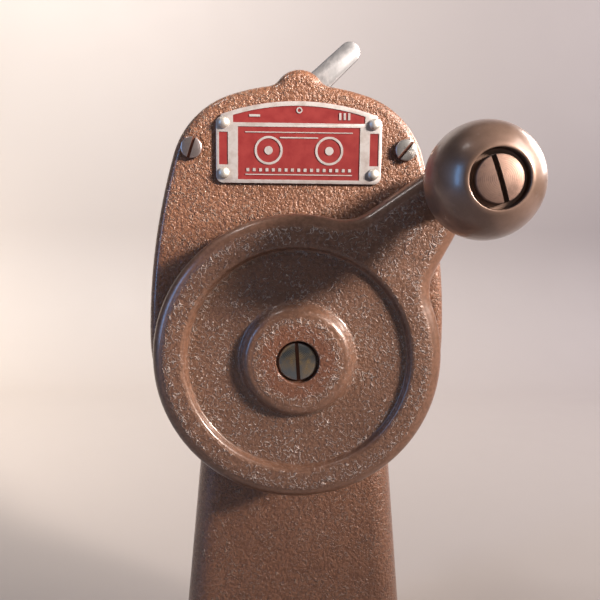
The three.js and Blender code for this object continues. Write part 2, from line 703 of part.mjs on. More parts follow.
// A ball on a short flared neck, bored for its shoulder screw.
function knobBall() {
  const front = KNOB_Y - KNOB_RADIUS;
  const neckAngle = Math.acos((KNOB_NECK_RADIUS + KNOB_NECK_FLARE) / KNOB_RADIUS);
  const ball = arc(vec(0, KNOB_Y), KNOB_RADIUS, DOWN, neckAngle, 12);
  const neckFront = ball.at(-1).y + 2 * KNOB_NECK_FLARE;
  return turned([
    ...ball.map((p) => [Math.max(p.x, 0), p.y]),
    [KNOB_NECK_RADIUS, neckFront],
    [KNOB_NECK_RADIUS, (neckFront + KNOB_BACK) / 2],
    [KNOB_NECK_RADIUS + KNOB_NECK_FLARE, KNOB_BACK],
    [0, KNOB_BACK],
  ], 24)
    .subtract(rod(BIG_SCREW_RADIUS + 1.4, front - PAST, front + KNOB_COUNTERBORE))
    .subtract(rod(KNOB_BORE_RADIUS, front - PAST, KNOB_BACK + PAST, 24));
}

// ---- Spindle ----

function spindleShaft() {
  const noseBack = SLOW_GEARS[0] - WASHER_GAP;
  const squareLength = SPINDLE_END - FLANGE[1] + PAST;
  const square = box(SPINDLE_SQUARE, squareLength, SPINDLE_SQUARE, 0,
    SPINDLE_END - squareLength / 2, 0);
  const keySeat = box(KEY_WIDTH + 2 * GAP, KEY_LENGTH + 2 * GAP, 4, 0, KEY_Y, KEY_BOTTOM - GAP + 2);
  const latchSlot = box(LATCH_SLOT_WIDTH, 2 * LATCH_SLOT_DEPTH, 2 * SPINDLE_SQUARE, 0,
    SPINDLE_END, 0);
  return rod(SPINDLE_NOSE_RADIUS, SPINDLE_NOSE_FRONT, noseBack)
    .add(rod(SPINDLE_RADIUS, noseBack, FLANGE[1]))
    .add(rod(SPINDLE_BODY_RADIUS, SLOW_GEARS[1] + GAP, PINION_HUB_FRONT - GAP))
    .add(square.intersect(rod(SPINDLE_RADIUS + GAP, FLANGE[1] - PAST, SPINDLE_END)))
    .subtract(keySeat)
    .subtract(latchSlot)
    .subtract(pinHole(SMALL_PIN_RADIUS, LATCH_PIVOT_Y, UP));
}

function dogCollar() {
  const front = COLLAR_Y - COLLAR_LENGTH / 2;
  const back = COLLAR_Y + COLLAR_LENGTH / 2;
  const groove = ring(COLLAR_RADIUS + 2, GROOVE_RADIUS, COLLAR_Y - GROOVE_WIDTH / 2,
    COLLAR_Y + GROOVE_WIDTH / 2);
  const keyway = box(KEY_WIDTH + 2 * GAP, 4 * COLLAR_LENGTH, 4, 0, COLLAR_Y, KEY_TOP + GAP - 2);
  return rod(COLLAR_RADIUS, front, back)
    .subtract(groove)
    .add(dogRing(DOG_INNER, DOG_OUTER, DOG_WIDTH, back - PAST, back + DOG_LENGTH))
    .add(dogRing(DOG_INNER, DOG_OUTER, DOG_WIDTH, front - DOG_LENGTH, front + PAST))
    .subtract(rod(SPINDLE_BODY_RADIUS + RUNNING, front - 2 * DOG_LENGTH, back + 2 * DOG_LENGTH))
    .subtract(keyway);
}

function reelFlange() {
  return rod(FLANGE_HUB_RADIUS, CASE_BACK + 2, FLANGE[0] + PAST)
    .add(rod(FLANGE_RADIUS, FLANGE[0], FLANGE[1], 40))
    .subtract(rod(SPINDLE_RADIUS + GAP, CASE_BACK, FLANGE[1] + PAST))
    .subtract(crossPin(SET_SCREW_RADIUS + GAP, 0, FLANGE_HUB_RADIUS + 2, SET_SCREW_Y, 0));
}

// The latch lies in the spindle's end slot, thin across X, and swings about its pin.
function spindleLatch() {
  const half = LATCH_WIDTH / 2;
  const outline = shapeOf([
    ...arc(vec(LATCH_PIVOT_Y, 0), half, UP, UP + Math.PI, 8),
    ...arc(vec(LATCH_PIVOT_Y + LATCH_LENGTH - half, 0), half, DOWN, UP, 8),
  ]);
  const blade = new THREE.ExtrudeGeometry(outline, { depth: LATCH_THICKNESS, bevelEnabled: false });
  blade.translate(0, 0, -LATCH_THICKNESS / 2);
  const turn = new THREE.Matrix4().makeBasis(
    new THREE.Vector3(0, 1, 0), new THREE.Vector3(0, 0, 1), new THREE.Vector3(1, 0, 0));
  return solid(blade.applyMatrix4(turn)).subtract(pinHole(SMALL_PIN_RADIUS, LATCH_PIVOT_Y, UP));
}

// ---- Shift ----

function shiftShaft() {
  return rod(SHIFT_SHAFT_RADIUS, SHIFT_SHAFT_FRONT, CASE_BACK - WALL + 0.8, 24)
    .subtract(pinHole(SMALL_PIN_RADIUS, LEVER_PIN_Y, LEVER_ANGLE))
    .subtract(pinHole(SMALL_PIN_RADIUS, CAM_PIN_Y, LEVER_ANGLE));
}

// The lever blade leans LEVER_ANGLE from upright, on a hub that turns in the cover's lug.
function shiftLever() {
  const half = LEVER_TIP_WIDTH / 2;
  const opening = 0.65;
  const outline = shapeOf([
    ...arc(vec(0, 0), LEVER_HUB_RADIUS, Math.PI + opening, -opening, 10),
    ...arc(vec(0, LEVER_REACH - half), half, 0, Math.PI, 10),
  ]);
  return plate(outline, ...LEVER_PLATE)
    .add(rod(LEVER_HUB_RADIUS, SHIFT_SHAFT_FRONT, LEVER_PLATE[0] + 0.1))
    .subtract(rod(SHIFT_SHAFT_RADIUS + GAP, CASE_FRONT, LEVER_PLATE[1] + PAST, 24))
    .rotate([0, radToDeg(LEVER_ANGLE), 0])
    .subtract(pinHole(SMALL_PIN_RADIUS, LEVER_PIN_Y, LEVER_ANGLE));
}

// The helical slot that the cam pin turns in as the fork slides.
function camSlot() {
  const steps = 8;
  const cuts = [];
  for (let i = 0; i <= steps; i += 1) {
    const part = i / steps;
    cuts.push(crossPin(CAM_SLOT_RADIUS, 1, 2 * SLEEVE_RADIUS, CAM_PIN_Y + FORK_TRAVEL * part,
      LEVER_ANGLE - LEVER_SWEEP * part, 12));
  }
  return union(cuts);
}

// The fork straddles the dog collar's groove and slides on the shift shaft.
function shiftFork() {
  const front = COLLAR_Y - FORK_THICKNESS / 2;
  const back = COLLAR_Y + FORK_THICKNESS / 2;
  const drop = SPINDLE_Z - SHIFT_Z;
  const centre = vec(0, drop);
  const inner = GROOVE_RADIUS + HOLE_GAP;
  const legEnd = drop - FORK_LEG;
  const arch = shapeOf([
    ...arc(centre, FORK_OUTER_RADIUS, 0, Math.PI, 14),
    vec(-FORK_OUTER_RADIUS + 0.5, legEnd),
    vec(-inner, legEnd),
    ...arc(centre, inner, Math.PI, 0, 14, true),
    vec(inner, legEnd),
    vec(FORK_OUTER_RADIUS - 0.5, legEnd),
  ]);
  const armTop = -SLEEVE_RADIUS + 2;
  const armBottom = drop + FORK_OUTER_RADIUS - 2;
  return plate(arch, front, back)
    .add(box(FORK_ARM_WIDTH, FORK_THICKNESS, armTop - armBottom, 0, COLLAR_Y,
      (armTop + armBottom) / 2))
    .add(rod(SLEEVE_RADIUS, SLEEVE_FRONT, SLEEVE_BACK))
    .subtract(rod(SHIFT_SHAFT_RADIUS + RUNNING, SLEEVE_FRONT - PAST, SLEEVE_BACK + PAST, 24))
    .subtract(camSlot());
}

// ---- Assembly ----

const rewind = new THREE.Group();
const crankLine = new THREE.Group();
const spindleLine = new THREE.Group();
const shiftLine = new THREE.Group();
const knobLine = new THREE.Group();
crankLine.position.z = CRANK_Z;
spindleLine.position.z = SPINDLE_Z;
shiftLine.position.z = SHIFT_Z;
knobLine.position.set(ARM_REACH * Math.cos(ARM_ANGLE), 0, ARM_REACH * Math.sin(ARM_ANGLE));
crankLine.add(knobLine);
rewind.add(crankLine, spindleLine, shiftLine);

add(rewind, "column_casting", columnCasting(), enamel);
add(rewind, "gearcase_cover", gearcaseCover(), enamel);

SCREW_PLACES.forEach(([x, z], i) => {
  const screw = slottedScrew({
    headRadius: SCREW_HEAD_RADIUS,
    front: CASE_FRONT - GAP - SCREW_HEAD_THICKNESS,
    head: SCREW_HEAD_THICKNESS,
    shankRadius: SCREW_SHANK_RADIUS,
    tip: SCREW_TIP,
    slot: 1,
    turn: SCREW_TURNS[i],
  });
  const place = new THREE.Group();
  place.position.set(x, 0, CRANK_Z + z);
  add(place, `cover_screw_${i + 1}`, screw, steel);
  rewind.add(place);
});

add(crankLine, "nameplate", nameplate(), signRed);
RIVET_ROWS.flatMap((row) => [[-RIVET_X, row], [RIVET_X, row]]).forEach(([x, z], i) => {
  const place = new THREE.Group();
  place.position.set(x, 0, z);
  add(place, `nameplate_rivet_${i + 1}`, driveRivet(), aluminium);
  crankLine.add(place);
});

const crankBore = CRANK_SHAFT_RADIUS + RUNNING;
const crankFrontBush = ring(CRANK_BUSH_RADIUS, crankBore, CRANK_FRONT_BUSH_START, FRONT_BUSH_END);
const crankKey = box(CRANK_KEY_SIDE, CRANK_KEY_LENGTH, CRANK_KEY_SIDE, 0,
  DISC_BACK - GAP - CRANK_KEY_LENGTH / 2, CRANK_SHAFT_RADIUS);
const crankScrew = slottedScrew({
  headRadius: BIG_SCREW_RADIUS,
  front: HUB_FRONT + 0.5,
  head: BIG_SCREW_HEAD,
  shankRadius: CRANK_SCREW_SHANK_RADIUS,
  tip: HUB_FRONT + CRANK_SCREW_LENGTH,
  slot: 1.1,
  turn: degToRad(-4),
});
const taperPin = (y) => crossPin(TAPER_PIN_RADIUS, -TAPER_PIN_HALF_LENGTH, TAPER_PIN_HALF_LENGTH,
  y, UP);
add(crankLine, "crank_bush_front", crankFrontBush, bronze);
add(crankLine, "crank_bush_rear", ring(CRANK_BUSH_RADIUS, crankBore, ...CRANK_REAR_BUSH), bronze);
add(crankLine, "crank_shaft", crankShaft(), steel);
add(crankLine, "crank_disc", crankDisc(), enamel);
add(crankLine, "crank_key", crankKey, steel);
add(crankLine, "crank_screw", crankScrew, tarnished);
add(crankLine, "slow_drive_gear", drivingWheel(SLOW_TEETH, SLOW_GEARS, SLOW_HUB, SLOW_PIN_Y),
  gearSteel);
add(crankLine, "fast_drive_gear", drivingWheel(FAST_WHEEL_TEETH, FAST_WHEEL, FAST_HUB, FAST_PIN_Y),
  gearSteel);
add(crankLine, "slow_gear_pin", taperPin(SLOW_PIN_Y), steel);
add(crankLine, "fast_gear_pin", taperPin(FAST_PIN_Y), steel);
add(crankLine, "crank_thrust_washer",
  ring(PINNED_HUB_RADIUS, crankBore, FAST_WHEEL[1] + WASHER_GAP, 15), bronze);

const knobSeat = DISC_RIM_FRONT - ARM_RISE;
const knobScrew = slottedScrew({
  headRadius: BIG_SCREW_RADIUS,
  front: KNOB_Y - KNOB_RADIUS + 1.8,
  head: 2.5,
  shankRadius: KNOB_SHOULDER_RADIUS,
  tip: knobSeat - GAP,
  slot: 1.25,
  turn: degToRad(-19),
}).add(rod(KNOB_THREAD_RADIUS, knobSeat - PAST, knobSeat + 8, 24));
const knobWasher = ring(KNOB_NECK_RADIUS, KNOB_BORE_RADIUS, KNOB_BACK + GAP, knobSeat - GAP);
add(knobLine, "knob_screw", knobScrew, tarnished);
add(knobLine, "knob_washer", knobWasher, steel);
add(knobLine, "crank_knob", knobBall(), lacquer);

const spindleBore = SPINDLE_RADIUS + RUNNING;
const spindleFrontBush = ring(SPINDLE_FRONT_BUSH_RADIUS, SPINDLE_FRONT_BUSH_BORE,
  SPINDLE_NOSE_FRONT - 0.2, FRONT_BUSH_END);
const spindleRearBush = ring(SPINDLE_BUSH_RADIUS, spindleBore, ...SPINDLE_REAR_BUSH);
const spindleKey = box(KEY_WIDTH, KEY_LENGTH, KEY_TOP - KEY_BOTTOM, 0, KEY_Y,
  (KEY_TOP + KEY_BOTTOM) / 2);
const spindleWasher = ring(SPINDLE_BUSH_RADIUS + 1, spindleBore, FAST_PINION[1] + GAP,
  SPINDLE_REAR_BUSH[0] - 0.5);
const setScrew = crossPin(SET_SCREW_RADIUS, SPINDLE_RADIUS + HOLE_GAP, FLANGE_HUB_RADIUS - 0.6,
  SET_SCREW_Y, 0);
const latchPin = crossPin(SMALL_PIN_RADIUS, -LATCH_PIN_HALF_LENGTH, LATCH_PIN_HALF_LENGTH,
  LATCH_PIVOT_Y, UP);
add(spindleLine, "spindle_bush_front", spindleFrontBush, bronze);
add(spindleLine, "spindle_bush_rear", spindleRearBush, bronze);
add(spindleLine, "spindle_shaft", spindleShaft(), steel);
add(spindleLine, "spindle_key", spindleKey, steel);
add(spindleLine, "spindle_thrust_washer", spindleWasher, bronze);
add(spindleLine, "slow_gear", slowGear(), gearSteel);
add(spindleLine, "fast_pinion", fastPinion(), gearSteel);
add(spindleLine, "dog_collar", dogCollar(), steel);
add(spindleLine, "reel_flange", reelFlange(), plated);
add(spindleLine, "flange_set_screw", setScrew, steel);
add(spindleLine, "spindle_latch", spindleLatch(), plated);
add(spindleLine, "latch_pin", latchPin, steel);

add(shiftLine, "shift_shaft", shiftShaft(), steel);
add(shiftLine, "shift_lever", shiftLever(), plated);
add(shiftLine, "lever_pin", crossPin(SMALL_PIN_RADIUS, -5, 5, LEVER_PIN_Y, LEVER_ANGLE), steel);
add(shiftLine, "cam_pin", crossPin(SMALL_PIN_RADIUS, -2.6, 5.4, CAM_PIN_Y, LEVER_ANGLE), steel);
add(shiftLine, "shift_fork", shiftFork(), gearSteel);

export default rewind;
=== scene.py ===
import json
import math

import bmesh
import bpy
import numpy as np
from mathutils import Matrix, Vector


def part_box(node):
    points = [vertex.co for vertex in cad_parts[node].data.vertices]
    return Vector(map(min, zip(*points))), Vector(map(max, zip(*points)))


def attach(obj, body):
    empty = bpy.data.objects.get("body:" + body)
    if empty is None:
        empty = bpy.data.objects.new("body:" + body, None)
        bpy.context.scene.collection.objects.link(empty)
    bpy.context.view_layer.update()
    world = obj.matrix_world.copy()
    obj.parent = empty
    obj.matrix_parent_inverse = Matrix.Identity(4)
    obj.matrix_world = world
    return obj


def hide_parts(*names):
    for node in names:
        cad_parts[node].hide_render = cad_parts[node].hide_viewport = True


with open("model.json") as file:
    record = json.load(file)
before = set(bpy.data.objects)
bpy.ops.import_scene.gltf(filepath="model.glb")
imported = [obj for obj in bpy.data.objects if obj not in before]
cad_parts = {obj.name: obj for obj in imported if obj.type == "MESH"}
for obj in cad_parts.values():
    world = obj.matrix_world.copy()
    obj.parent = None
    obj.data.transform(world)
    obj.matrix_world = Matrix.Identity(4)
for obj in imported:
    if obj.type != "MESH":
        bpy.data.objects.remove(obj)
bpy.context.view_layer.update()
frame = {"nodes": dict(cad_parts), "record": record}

MM = 0.001
SAME_PLACE = 1e-7
TURN = 2 * math.pi
UP = math.pi / 2

# ---- Places, from the frame ----


def centre(node):
    low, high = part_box(node)
    return (low + high) / (2 * MM)


CRANK_Z = centre("crank_bush_front").z
SPINDLE_Z = centre("spindle_bush_front").z
SHIFT_Z = centre("shift_shaft").z
KNOB = centre("crank_knob")

# ---- Sizes in millimetres, close to the solid model's ----

# How far a cutter reaches beyond the surface it cuts.
PAST = 1
CRANK_BOSS_RADIUS, CRANK_BOSS_RISE = 11, 3
CASE_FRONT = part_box("gearcase_cover")[0].y / MM + CRANK_BOSS_RISE
PARTING, SEAM = -14, 0.3
CASE_BACK = 22
WALL = 4
CASE_EDGE, SEAM_CHAMFER = 3.2, 0.4
BOTTOM_RADIUS, BOTTOM_Z = 48.4, CRANK_Z + 3
SIDE_RADIUS = 210
SHOULDER_RADIUS = 28
TOP_RADIUS, TOP_Z = 70, CRANK_Z + 14.5
LUG_RADIUS, LUG_FILLET = 8.2, 5
BUSH_BORE, SPINDLE_FRONT_BORE = 7.25, 6.3
LEVER_HUB_BORE, SHIFT_BORE = 5.5, 3.3
SLEEVE_BORE, SLEEVE_BORE_BACK = 6.4, 12.3
REAR_BOSS_RADIUS, CRANK_REAR_RISE, SPINDLE_REAR_RISE = 12, 2.5, 1.4
SCREW_SPOT_RADIUS, SCREW_SPOT_DEPTH = 4.1, 0.12
LEVER_SLOT_HALF_WIDTH, LEVER_SLOT_DROP, LEVER_SLOT_BACK = 11, 5.8, -11.4

COLUMN_TOP = CRANK_Z - 32
COLUMN_HALF_WIDTH = 33.2
COLUMN_FRONT, COLUMN_BACK = PARTING + 1, CASE_BACK - 1
COLUMN_TAPER = 0.085
COLUMN_CORNER = 9
HOLLOW_TOP = COLUMN_TOP - 16
COLUMN_FILLET = 7
FOOT_WIDTH, FOOT_DEPTH, FOOT_THICKNESS, FOOT_CORNER, FOOT_EDGE = 120, 100, 8, 14, 2.5
FOOT_HOLE_X, FOOT_HOLE_Y, FOOT_HOLE_RADIUS = 51, 41, 2.8
RIB_HALF_WIDTH, RIB_HALF_THICKNESS, RIB_HEIGHT = 38, 3, 14

DISC_RADIUS = 44.2
DISC_BACK, DISC_WEB_BACK, DISC_FLOOR, DISC_RIM_FRONT = -28.5, -33.6, -38.9, -41.3
EDGE_DEPTH, EDGE_WIDTH = 3.4, 5.6
DISH_RADIUS = 33.6
HUB_RADIUS, HUB_FRONT = 16.2, -42.8
HUB_RECESS_RADIUS, HUB_RECESS_DEPTH = 6.5, 2.9
CRANK_SHAFT_BORE, CRANK_SCREW_BORE, KNOB_SCREW_BORE = 5.3, 3.2, 3.6
ARM_ANGLE = math.atan2(KNOB.z - CRANK_Z, KNOB.x)
ARM_REACH = math.hypot(KNOB.z - CRANK_Z, KNOB.x)
ARM_TAPER = math.radians(14)
ARM_END_RADIUS, ARM_FILLET = 7.5, 13
ARM_RISE, ARM_RISE_START, ARM_RISE_END = 0.8, 45, 64
ARM_BACK_RISE, ARM_BACK_RADIUS = 2.8, 46.5
KNOB_RADIUS, KNOB_Y, KNOB_BACK = 15, -68, -43.7
KNOB_NECK, KNOB_FLARE = 6.6, 0.9
KNOB_BORE, KNOB_SEAT_DEPTH, KNOB_LIP = 4.4, 4.8, 1.4
BIG_SCREW_RADIUS = 5.85

# ---- Mesh helpers ----

SMOOTH_ANGLE = 35
FILLET_STEPS = 5


def new_object(name, vertices, faces, inset=None, smooth_angle=SMOOTH_ANGLE):
    """vertices are in millimetres, in the shared frame.

    inset is each one's distance from the outline, kept for the paint.
    """
    mesh = bpy.data.meshes.new(name)
    mesh.from_pydata([tuple(MM * c for c in v) for v in vertices], [], faces)
    if inset is not None:
        mesh.attributes.new("inset", "FLOAT", "POINT").data.foreach_set("value", inset)
    piece = bpy.data.objects.new(name, mesh)
    bpy.context.scene.collection.objects.link(piece)
    tidy(piece, smooth_angle)
    return piece


def tidy(piece, smooth_angle=SMOOTH_ANGLE):
    """Merges doubled corners, turns the faces outwards and shades curved parts smoothly."""
    work = bmesh.new()
    work.from_mesh(piece.data)
    bmesh.ops.remove_doubles(work, verts=work.verts, dist=SAME_PLACE)
    bmesh.ops.recalc_face_normals(work, faces=work.faces)
    limit = math.radians(smooth_angle)
    for face in work.faces:
        face.smooth = True
    for edge in work.edges:
        edge.smooth = edge.calc_face_angle(0) < limit
    work.to_mesh(piece.data)
    work.free()


def arc(centre_at, radius, start, end, steps):
    x, y = centre_at
    angles = np.linspace(start, end, steps + 1)
    return [(x + radius * math.cos(a), y + radius * math.sin(a)) for a in angles]


def rounded(a, corner, b, radius):
    """Points that turn from the way a-corner to the way corner-b round a fillet.

    The fillet takes no more than half of either side.
    """
    a, corner, b = Vector(a), Vector(corner), Vector(b)
    side_a, side_b = a - corner, b - corner
    half_angle = side_a.normalized().angle(side_b.normalized()) / 2
    back = min(radius / math.tan(half_angle), side_a.length * 0.49, side_b.length * 0.49)
    start, end = corner + side_a.normalized() * back, corner + side_b.normalized() * back
    points = []
    for t in np.linspace(0, 1, FILLET_STEPS + 1):
        points.append(tuple(start.lerp(corner, t).lerp(corner.lerp(end, t), t)))
    return points


def smooth_profile(corners):
    """corners are (radius, depth) or (radius, depth, fillet)."""
    points = [corners[0][:2]]
    for before, here, after in zip(corners, corners[1:], corners[2:]):
        if len(here) == 3:
            points += rounded(before[:2], here[:2], after[:2], here[2])
        else:
            points.append(here)
    points.append(corners[-1][:2])
    return points


def capped(name, rings, insets=None):
    """A closed solid: rings joined in turn, with a flat cap on the first and the last."""
    count = len(rings[0])
    vertices = [v for ring in rings for v in ring]
    faces = [tuple(range(count)), tuple(range(len(vertices) - count, len(vertices)))]
    for a in range(0, len(vertices) - count, count):
        for k in range(count):
            n = (k + 1) % count
            faces.append((a + k, a + n, a + n + count, a + k + count))
    inset = np.repeat(insets, count) if insets is not None else None
    return new_object(name, vertices, faces, inset)


def turned(name, corners, at, steps=96):
    """A solid turned about a line along Y through at, from (radius, depth, fillet) corners."""
    turns = np.linspace(0, TURN, steps, endpoint=False)
    x, z = at
    rings = []
    for radius, depth in smooth_profile(corners):
        rings.append([(x + radius * math.sin(a), depth, z + radius * math.cos(a)) for a in turns])
    return capped(name, rings)


def cylinder(name, radius, front, back, at=(0, 0), steps=48):
    return turned(name, [(radius, front), (radius, back)], at, steps)


def rectangle(low_x, high_x, low_z, high_z):
    return [(low_x, low_z), (high_x, low_z), (high_x, high_z), (low_x, high_z)]


def mirror_points(half):
    """The points, then the same points on the other side of X = 0 in turn."""
    return half + [(-x, z) for x, z in reversed(half)]


def prism(name, outline, front, back):
    """An outline in X and Z between two depths."""
    return capped(name, [[(x, y, z) for x, z in outline] for y in (front, back)])


def block(name, low, high):
    (x0, y0, z0), (x1, y1, z1) = low, high
    return prism(name, rectangle(x0, x1, z0, z1), y0, y1)


def combine(piece, other, operation):
    """A boolean with other, which is used up."""
    modifier = piece.modifiers.new("combine", "BOOLEAN")
    modifier.operation = operation
    modifier.solver = "EXACT"
    modifier.object = other
    bake(piece)
    bpy.data.objects.remove(other)
    return piece


def bake(piece):
    graph = bpy.context.evaluated_depsgraph_get()
    mesh = bpy.data.meshes.new_from_object(piece.evaluated_get(graph))
    piece.modifiers.clear()
    old = piece.data
    piece.data = mesh
    bpy.data.meshes.remove(old)
    tidy(piece)


def bore(piece, radius, front, back, at):
    """A round hole along Y through at."""
    return combine(piece, cylinder("bore", radius, front, back, at), "DIFFERENCE")


def turn_and_move(piece, angle, axis, place):
    """A turn about an axis of the frame, then a move by place, in millimetres."""
    piece.data.transform(Matrix.Rotation(angle, 4, axis))
    piece.data.transform(Matrix.Translation([MM * c for c in place]))


# ---- Gear case and column ----


def meet(a, from_a, b, from_b):
    """The point at given distances from a and b, on the left of the way from a to b."""
    way = b - a
    apart = way.length
    along = (from_a**2 - from_b**2 + apart**2) / (2 * apart)
    across = math.sqrt(from_a**2 - along**2)
    way = way / apart
    return a + way * along + Vector((-way.y, way.x)) * across


def heading(a, b):
    return math.atan2(b.y - a.y, b.x - a.x)


def case_outline(inset, with_lug=True):
    """The case seen from the front, drawn in by inset: arcs that meet without a corner."""
    side = Vector((BOTTOM_RADIUS - SIDE_RADIUS, BOTTOM_Z))
    top = Vector((0, TOP_Z))
    lug = Vector((0, SHIFT_Z))
    shoulder = meet(side, SIDE_RADIUS - SHOULDER_RADIUS, top, TOP_RADIUS - SHOULDER_RADIUS)
    side_end, shoulder_end = heading(side, shoulder), heading(top, shoulder)
    half = arc((0, BOTTOM_Z), BOTTOM_RADIUS - inset, -UP, 0, 36)
    half += arc(side, SIDE_RADIUS - inset, 0, side_end, 16)
    half += arc(shoulder, SHOULDER_RADIUS - inset, side_end, shoulder_end, 20)
    if with_lug:
        fillet = meet(lug, LUG_RADIUS + LUG_FILLET, top, TOP_RADIUS + LUG_FILLET)
        top_end, lug_start = heading(top, fillet), heading(lug, fillet)
        half += arc(top, TOP_RADIUS - inset, shoulder_end, top_end, 12)
        half += arc(fillet, LUG_FILLET + inset, top_end + math.pi, lug_start + math.pi, 8)
        half += arc(lug, LUG_RADIUS - inset, lug_start, UP, 12)
    else:
        half += arc(top, TOP_RADIUS - inset, shoulder_end, UP, 12)
    return mirror_points(half)


def case_block(name, sharp, round_at):
    """The case outline from a chamfered edge, at the seam, to a rounded one."""
    way = 1 if round_at > sharp else -1
    steps = [(sharp, SEAM_CHAMFER), (sharp + way * SEAM_CHAMFER, 0)]
    for a in np.linspace(0, UP, 9):
        depth = round_at - way * CASE_EDGE * (1 - math.sin(a))
        steps.append((depth, CASE_EDGE * (1 - math.cos(a))))
    rings = [[(x, y, z) for x, z in case_outline(inset)] for y, inset in steps]
    return capped(name, rings)


def gear_case_cover():
    """The front half of the case, with the crank's boss and a flat spot under each screw."""
    back, inside = PARTING - SEAM / 2, CASE_FRONT + WALL
    cover = case_block("gear_case_cover", back, CASE_FRONT)
    combine(cover, prism("cavity", case_outline(WALL, False), inside, back + PAST), "DIFFERENCE")
    boss_front = CASE_FRONT - CRANK_BOSS_RISE
    corners = [
        (0, boss_front),
        (CRANK_BOSS_RADIUS, boss_front, 0.8),
        (CRANK_BOSS_RADIUS, CASE_FRONT - 0.9, 1),
        (CRANK_BOSS_RADIUS + 1, CASE_FRONT + 1),
    ]
    combine(cover, turned("boss", corners, (0, CRANK_Z)), "UNION")
    bore(cover, BUSH_BORE, CASE_FRONT - 5, back, (0, CRANK_Z))
    bore(cover, SPINDLE_FRONT_BORE, CASE_FRONT + 1.2, back, (0, SPINDLE_Z))
    bore(cover, LEVER_HUB_BORE, CASE_FRONT + 3, back + PAST, (0, SHIFT_Z))
    for number in range(1, 5):
        place = centre(f"cover_screw_{number}")
        spot = cylinder("spot", SCREW_SPOT_RADIUS, CASE_FRONT - PAST, CASE_FRONT + SCREW_SPOT_DEPTH,
                        (place.x, place.z))
        combine(cover, spot, "DIFFERENCE")
    return cover


def rounded_rectangle(half, front, back, corner, z):
    """A level ring of points at height z, its corners rounded."""
    corners = [
        (half - corner, front + corner, -UP),
        (half - corner, back - corner, 0),
        (corner - half, back - corner, UP),
        (corner - half, front + corner, 2 * UP),
    ]
    ring = []
    for x, y, start in corners:
        ring += [(u, v, z) for u, v in arc((x, y), corner, start, start + UP, 10)]
    return ring


def column_ring(z, grow=0, inset=0):
    """The column's outline at height z, wider towards the foot."""
    spread = COLUMN_TAPER * (COLUMN_TOP - z) + grow - inset
    return rounded_rectangle(COLUMN_HALF_WIDTH + spread, COLUMN_FRONT - spread,
                             COLUMN_BACK + spread, COLUMN_CORNER + grow - inset, z)


def foot_ring(z, inset):
    """The foot's outline at height z, drawn in by inset."""
    half = FOOT_DEPTH / 2 - inset
    return rounded_rectangle(FOOT_WIDTH / 2 - inset, -half, half, FOOT_CORNER - inset, z)


def column_and_foot():
    fillet_top = FOOT_THICKNESS + COLUMN_FILLET
    rings = [column_ring(z) for z in np.linspace(COLUMN_TOP, fillet_top, 8)]
    for a in np.linspace(0, UP, 8)[1:]:
        z = FOOT_THICKNESS + COLUMN_FILLET * (1 - math.sin(a))
        rings.append(column_ring(z, grow=COLUMN_FILLET * (1 - math.cos(a))))
    for a in np.linspace(UP, 0, 6):
        z = FOOT_THICKNESS - FOOT_EDGE * (1 - math.sin(a))
        rings.append(foot_ring(z, FOOT_EDGE * (1 - math.cos(a))))
    rings += [foot_ring(0.5, 0), foot_ring(0, 0.5)]
    return capped("column_and_foot", rings)


def column_body():
    """The rear half of the case with its column and foot, hollow, and bored for its shafts."""
    front, inside = PARTING + SEAM / 2, CASE_BACK - WALL
    body = case_block("column_body", front, CASE_BACK)
    combine(body, column_and_foot(), "UNION")
    hollow = capped("hollow", [column_ring(z, inset=WALL) for z in (-PAST, HOLLOW_TOP)])
    combine(body, hollow, "DIFFERENCE")
    rib = block("rib", (-RIB_HALF_WIDTH, -RIB_HALF_THICKNESS, 0),
                (RIB_HALF_WIDTH, RIB_HALF_THICKNESS, RIB_HEIGHT))
    combine(body, rib, "UNION")
    combine(body, prism("cavity", case_outline(WALL, False), front - PAST, inside), "DIFFERENCE")
    for place, rise in ((CRANK_Z, CRANK_REAR_RISE), (SPINDLE_Z, SPINDLE_REAR_RISE)):
        face = CASE_BACK + rise
        root = face - 5
        corners = [(0, root), (REAR_BOSS_RADIUS, root), (REAR_BOSS_RADIUS, face, 0.8), (0, face)]
        combine(body, turned("boss", corners, (0, place)), "UNION")
    bore(body, BUSH_BORE, inside - 5, CASE_BACK + 5, (0, SPINDLE_Z))
    bore(body, BUSH_BORE, inside - 5, CASE_BACK - 0.5, (0, CRANK_Z))
    bore(body, SLEEVE_BORE, front - PAST, SLEEVE_BORE_BACK, (0, SHIFT_Z))
    bore(body, SHIFT_BORE, 10, inside + 1.2, (0, SHIFT_Z))
    slot = block("slot", (-LEVER_SLOT_HALF_WIDTH, front - PAST, SHIFT_Z - LEVER_SLOT_DROP),
                 (LEVER_SLOT_HALF_WIDTH, LEVER_SLOT_BACK, SHIFT_Z + 20))
    combine(body, slot, "DIFFERENCE")
    for x in (-FOOT_HOLE_X, FOOT_HOLE_X):
        for y in (-FOOT_HOLE_Y, FOOT_HOLE_Y):
            hole = cylinder("hole", FOOT_HOLE_RADIUS, -12, 12)
            turn_and_move(hole, UP, "X", (x, y, 0))
            combine(body, hole, "DIFFERENCE")
    return body


# ---- Crank ----


# Along the arm and across it: a unit vector square to the arm's side, and the arm's end.
ARM_SLOPE = Vector((math.sin(ARM_TAPER), math.cos(ARM_TAPER)))
ARM_END = Vector((ARM_REACH, 0))


def arm_fillet_centre():
    """The middle of the arc between the arm's side and the disc, along the arm and across it."""
    backwards = Vector((-ARM_SLOPE.y, ARM_SLOPE.x))
    offset = ARM_END + ARM_SLOPE * (ARM_END_RADIUS + ARM_FILLET)
    lean = offset.dot(backwards)
    reach = DISC_RADIUS + ARM_FILLET
    run = -lean - math.sqrt(lean**2 - offset.length_squared + reach**2)
    return offset + backwards * run


FILLET = arm_fillet_centre()


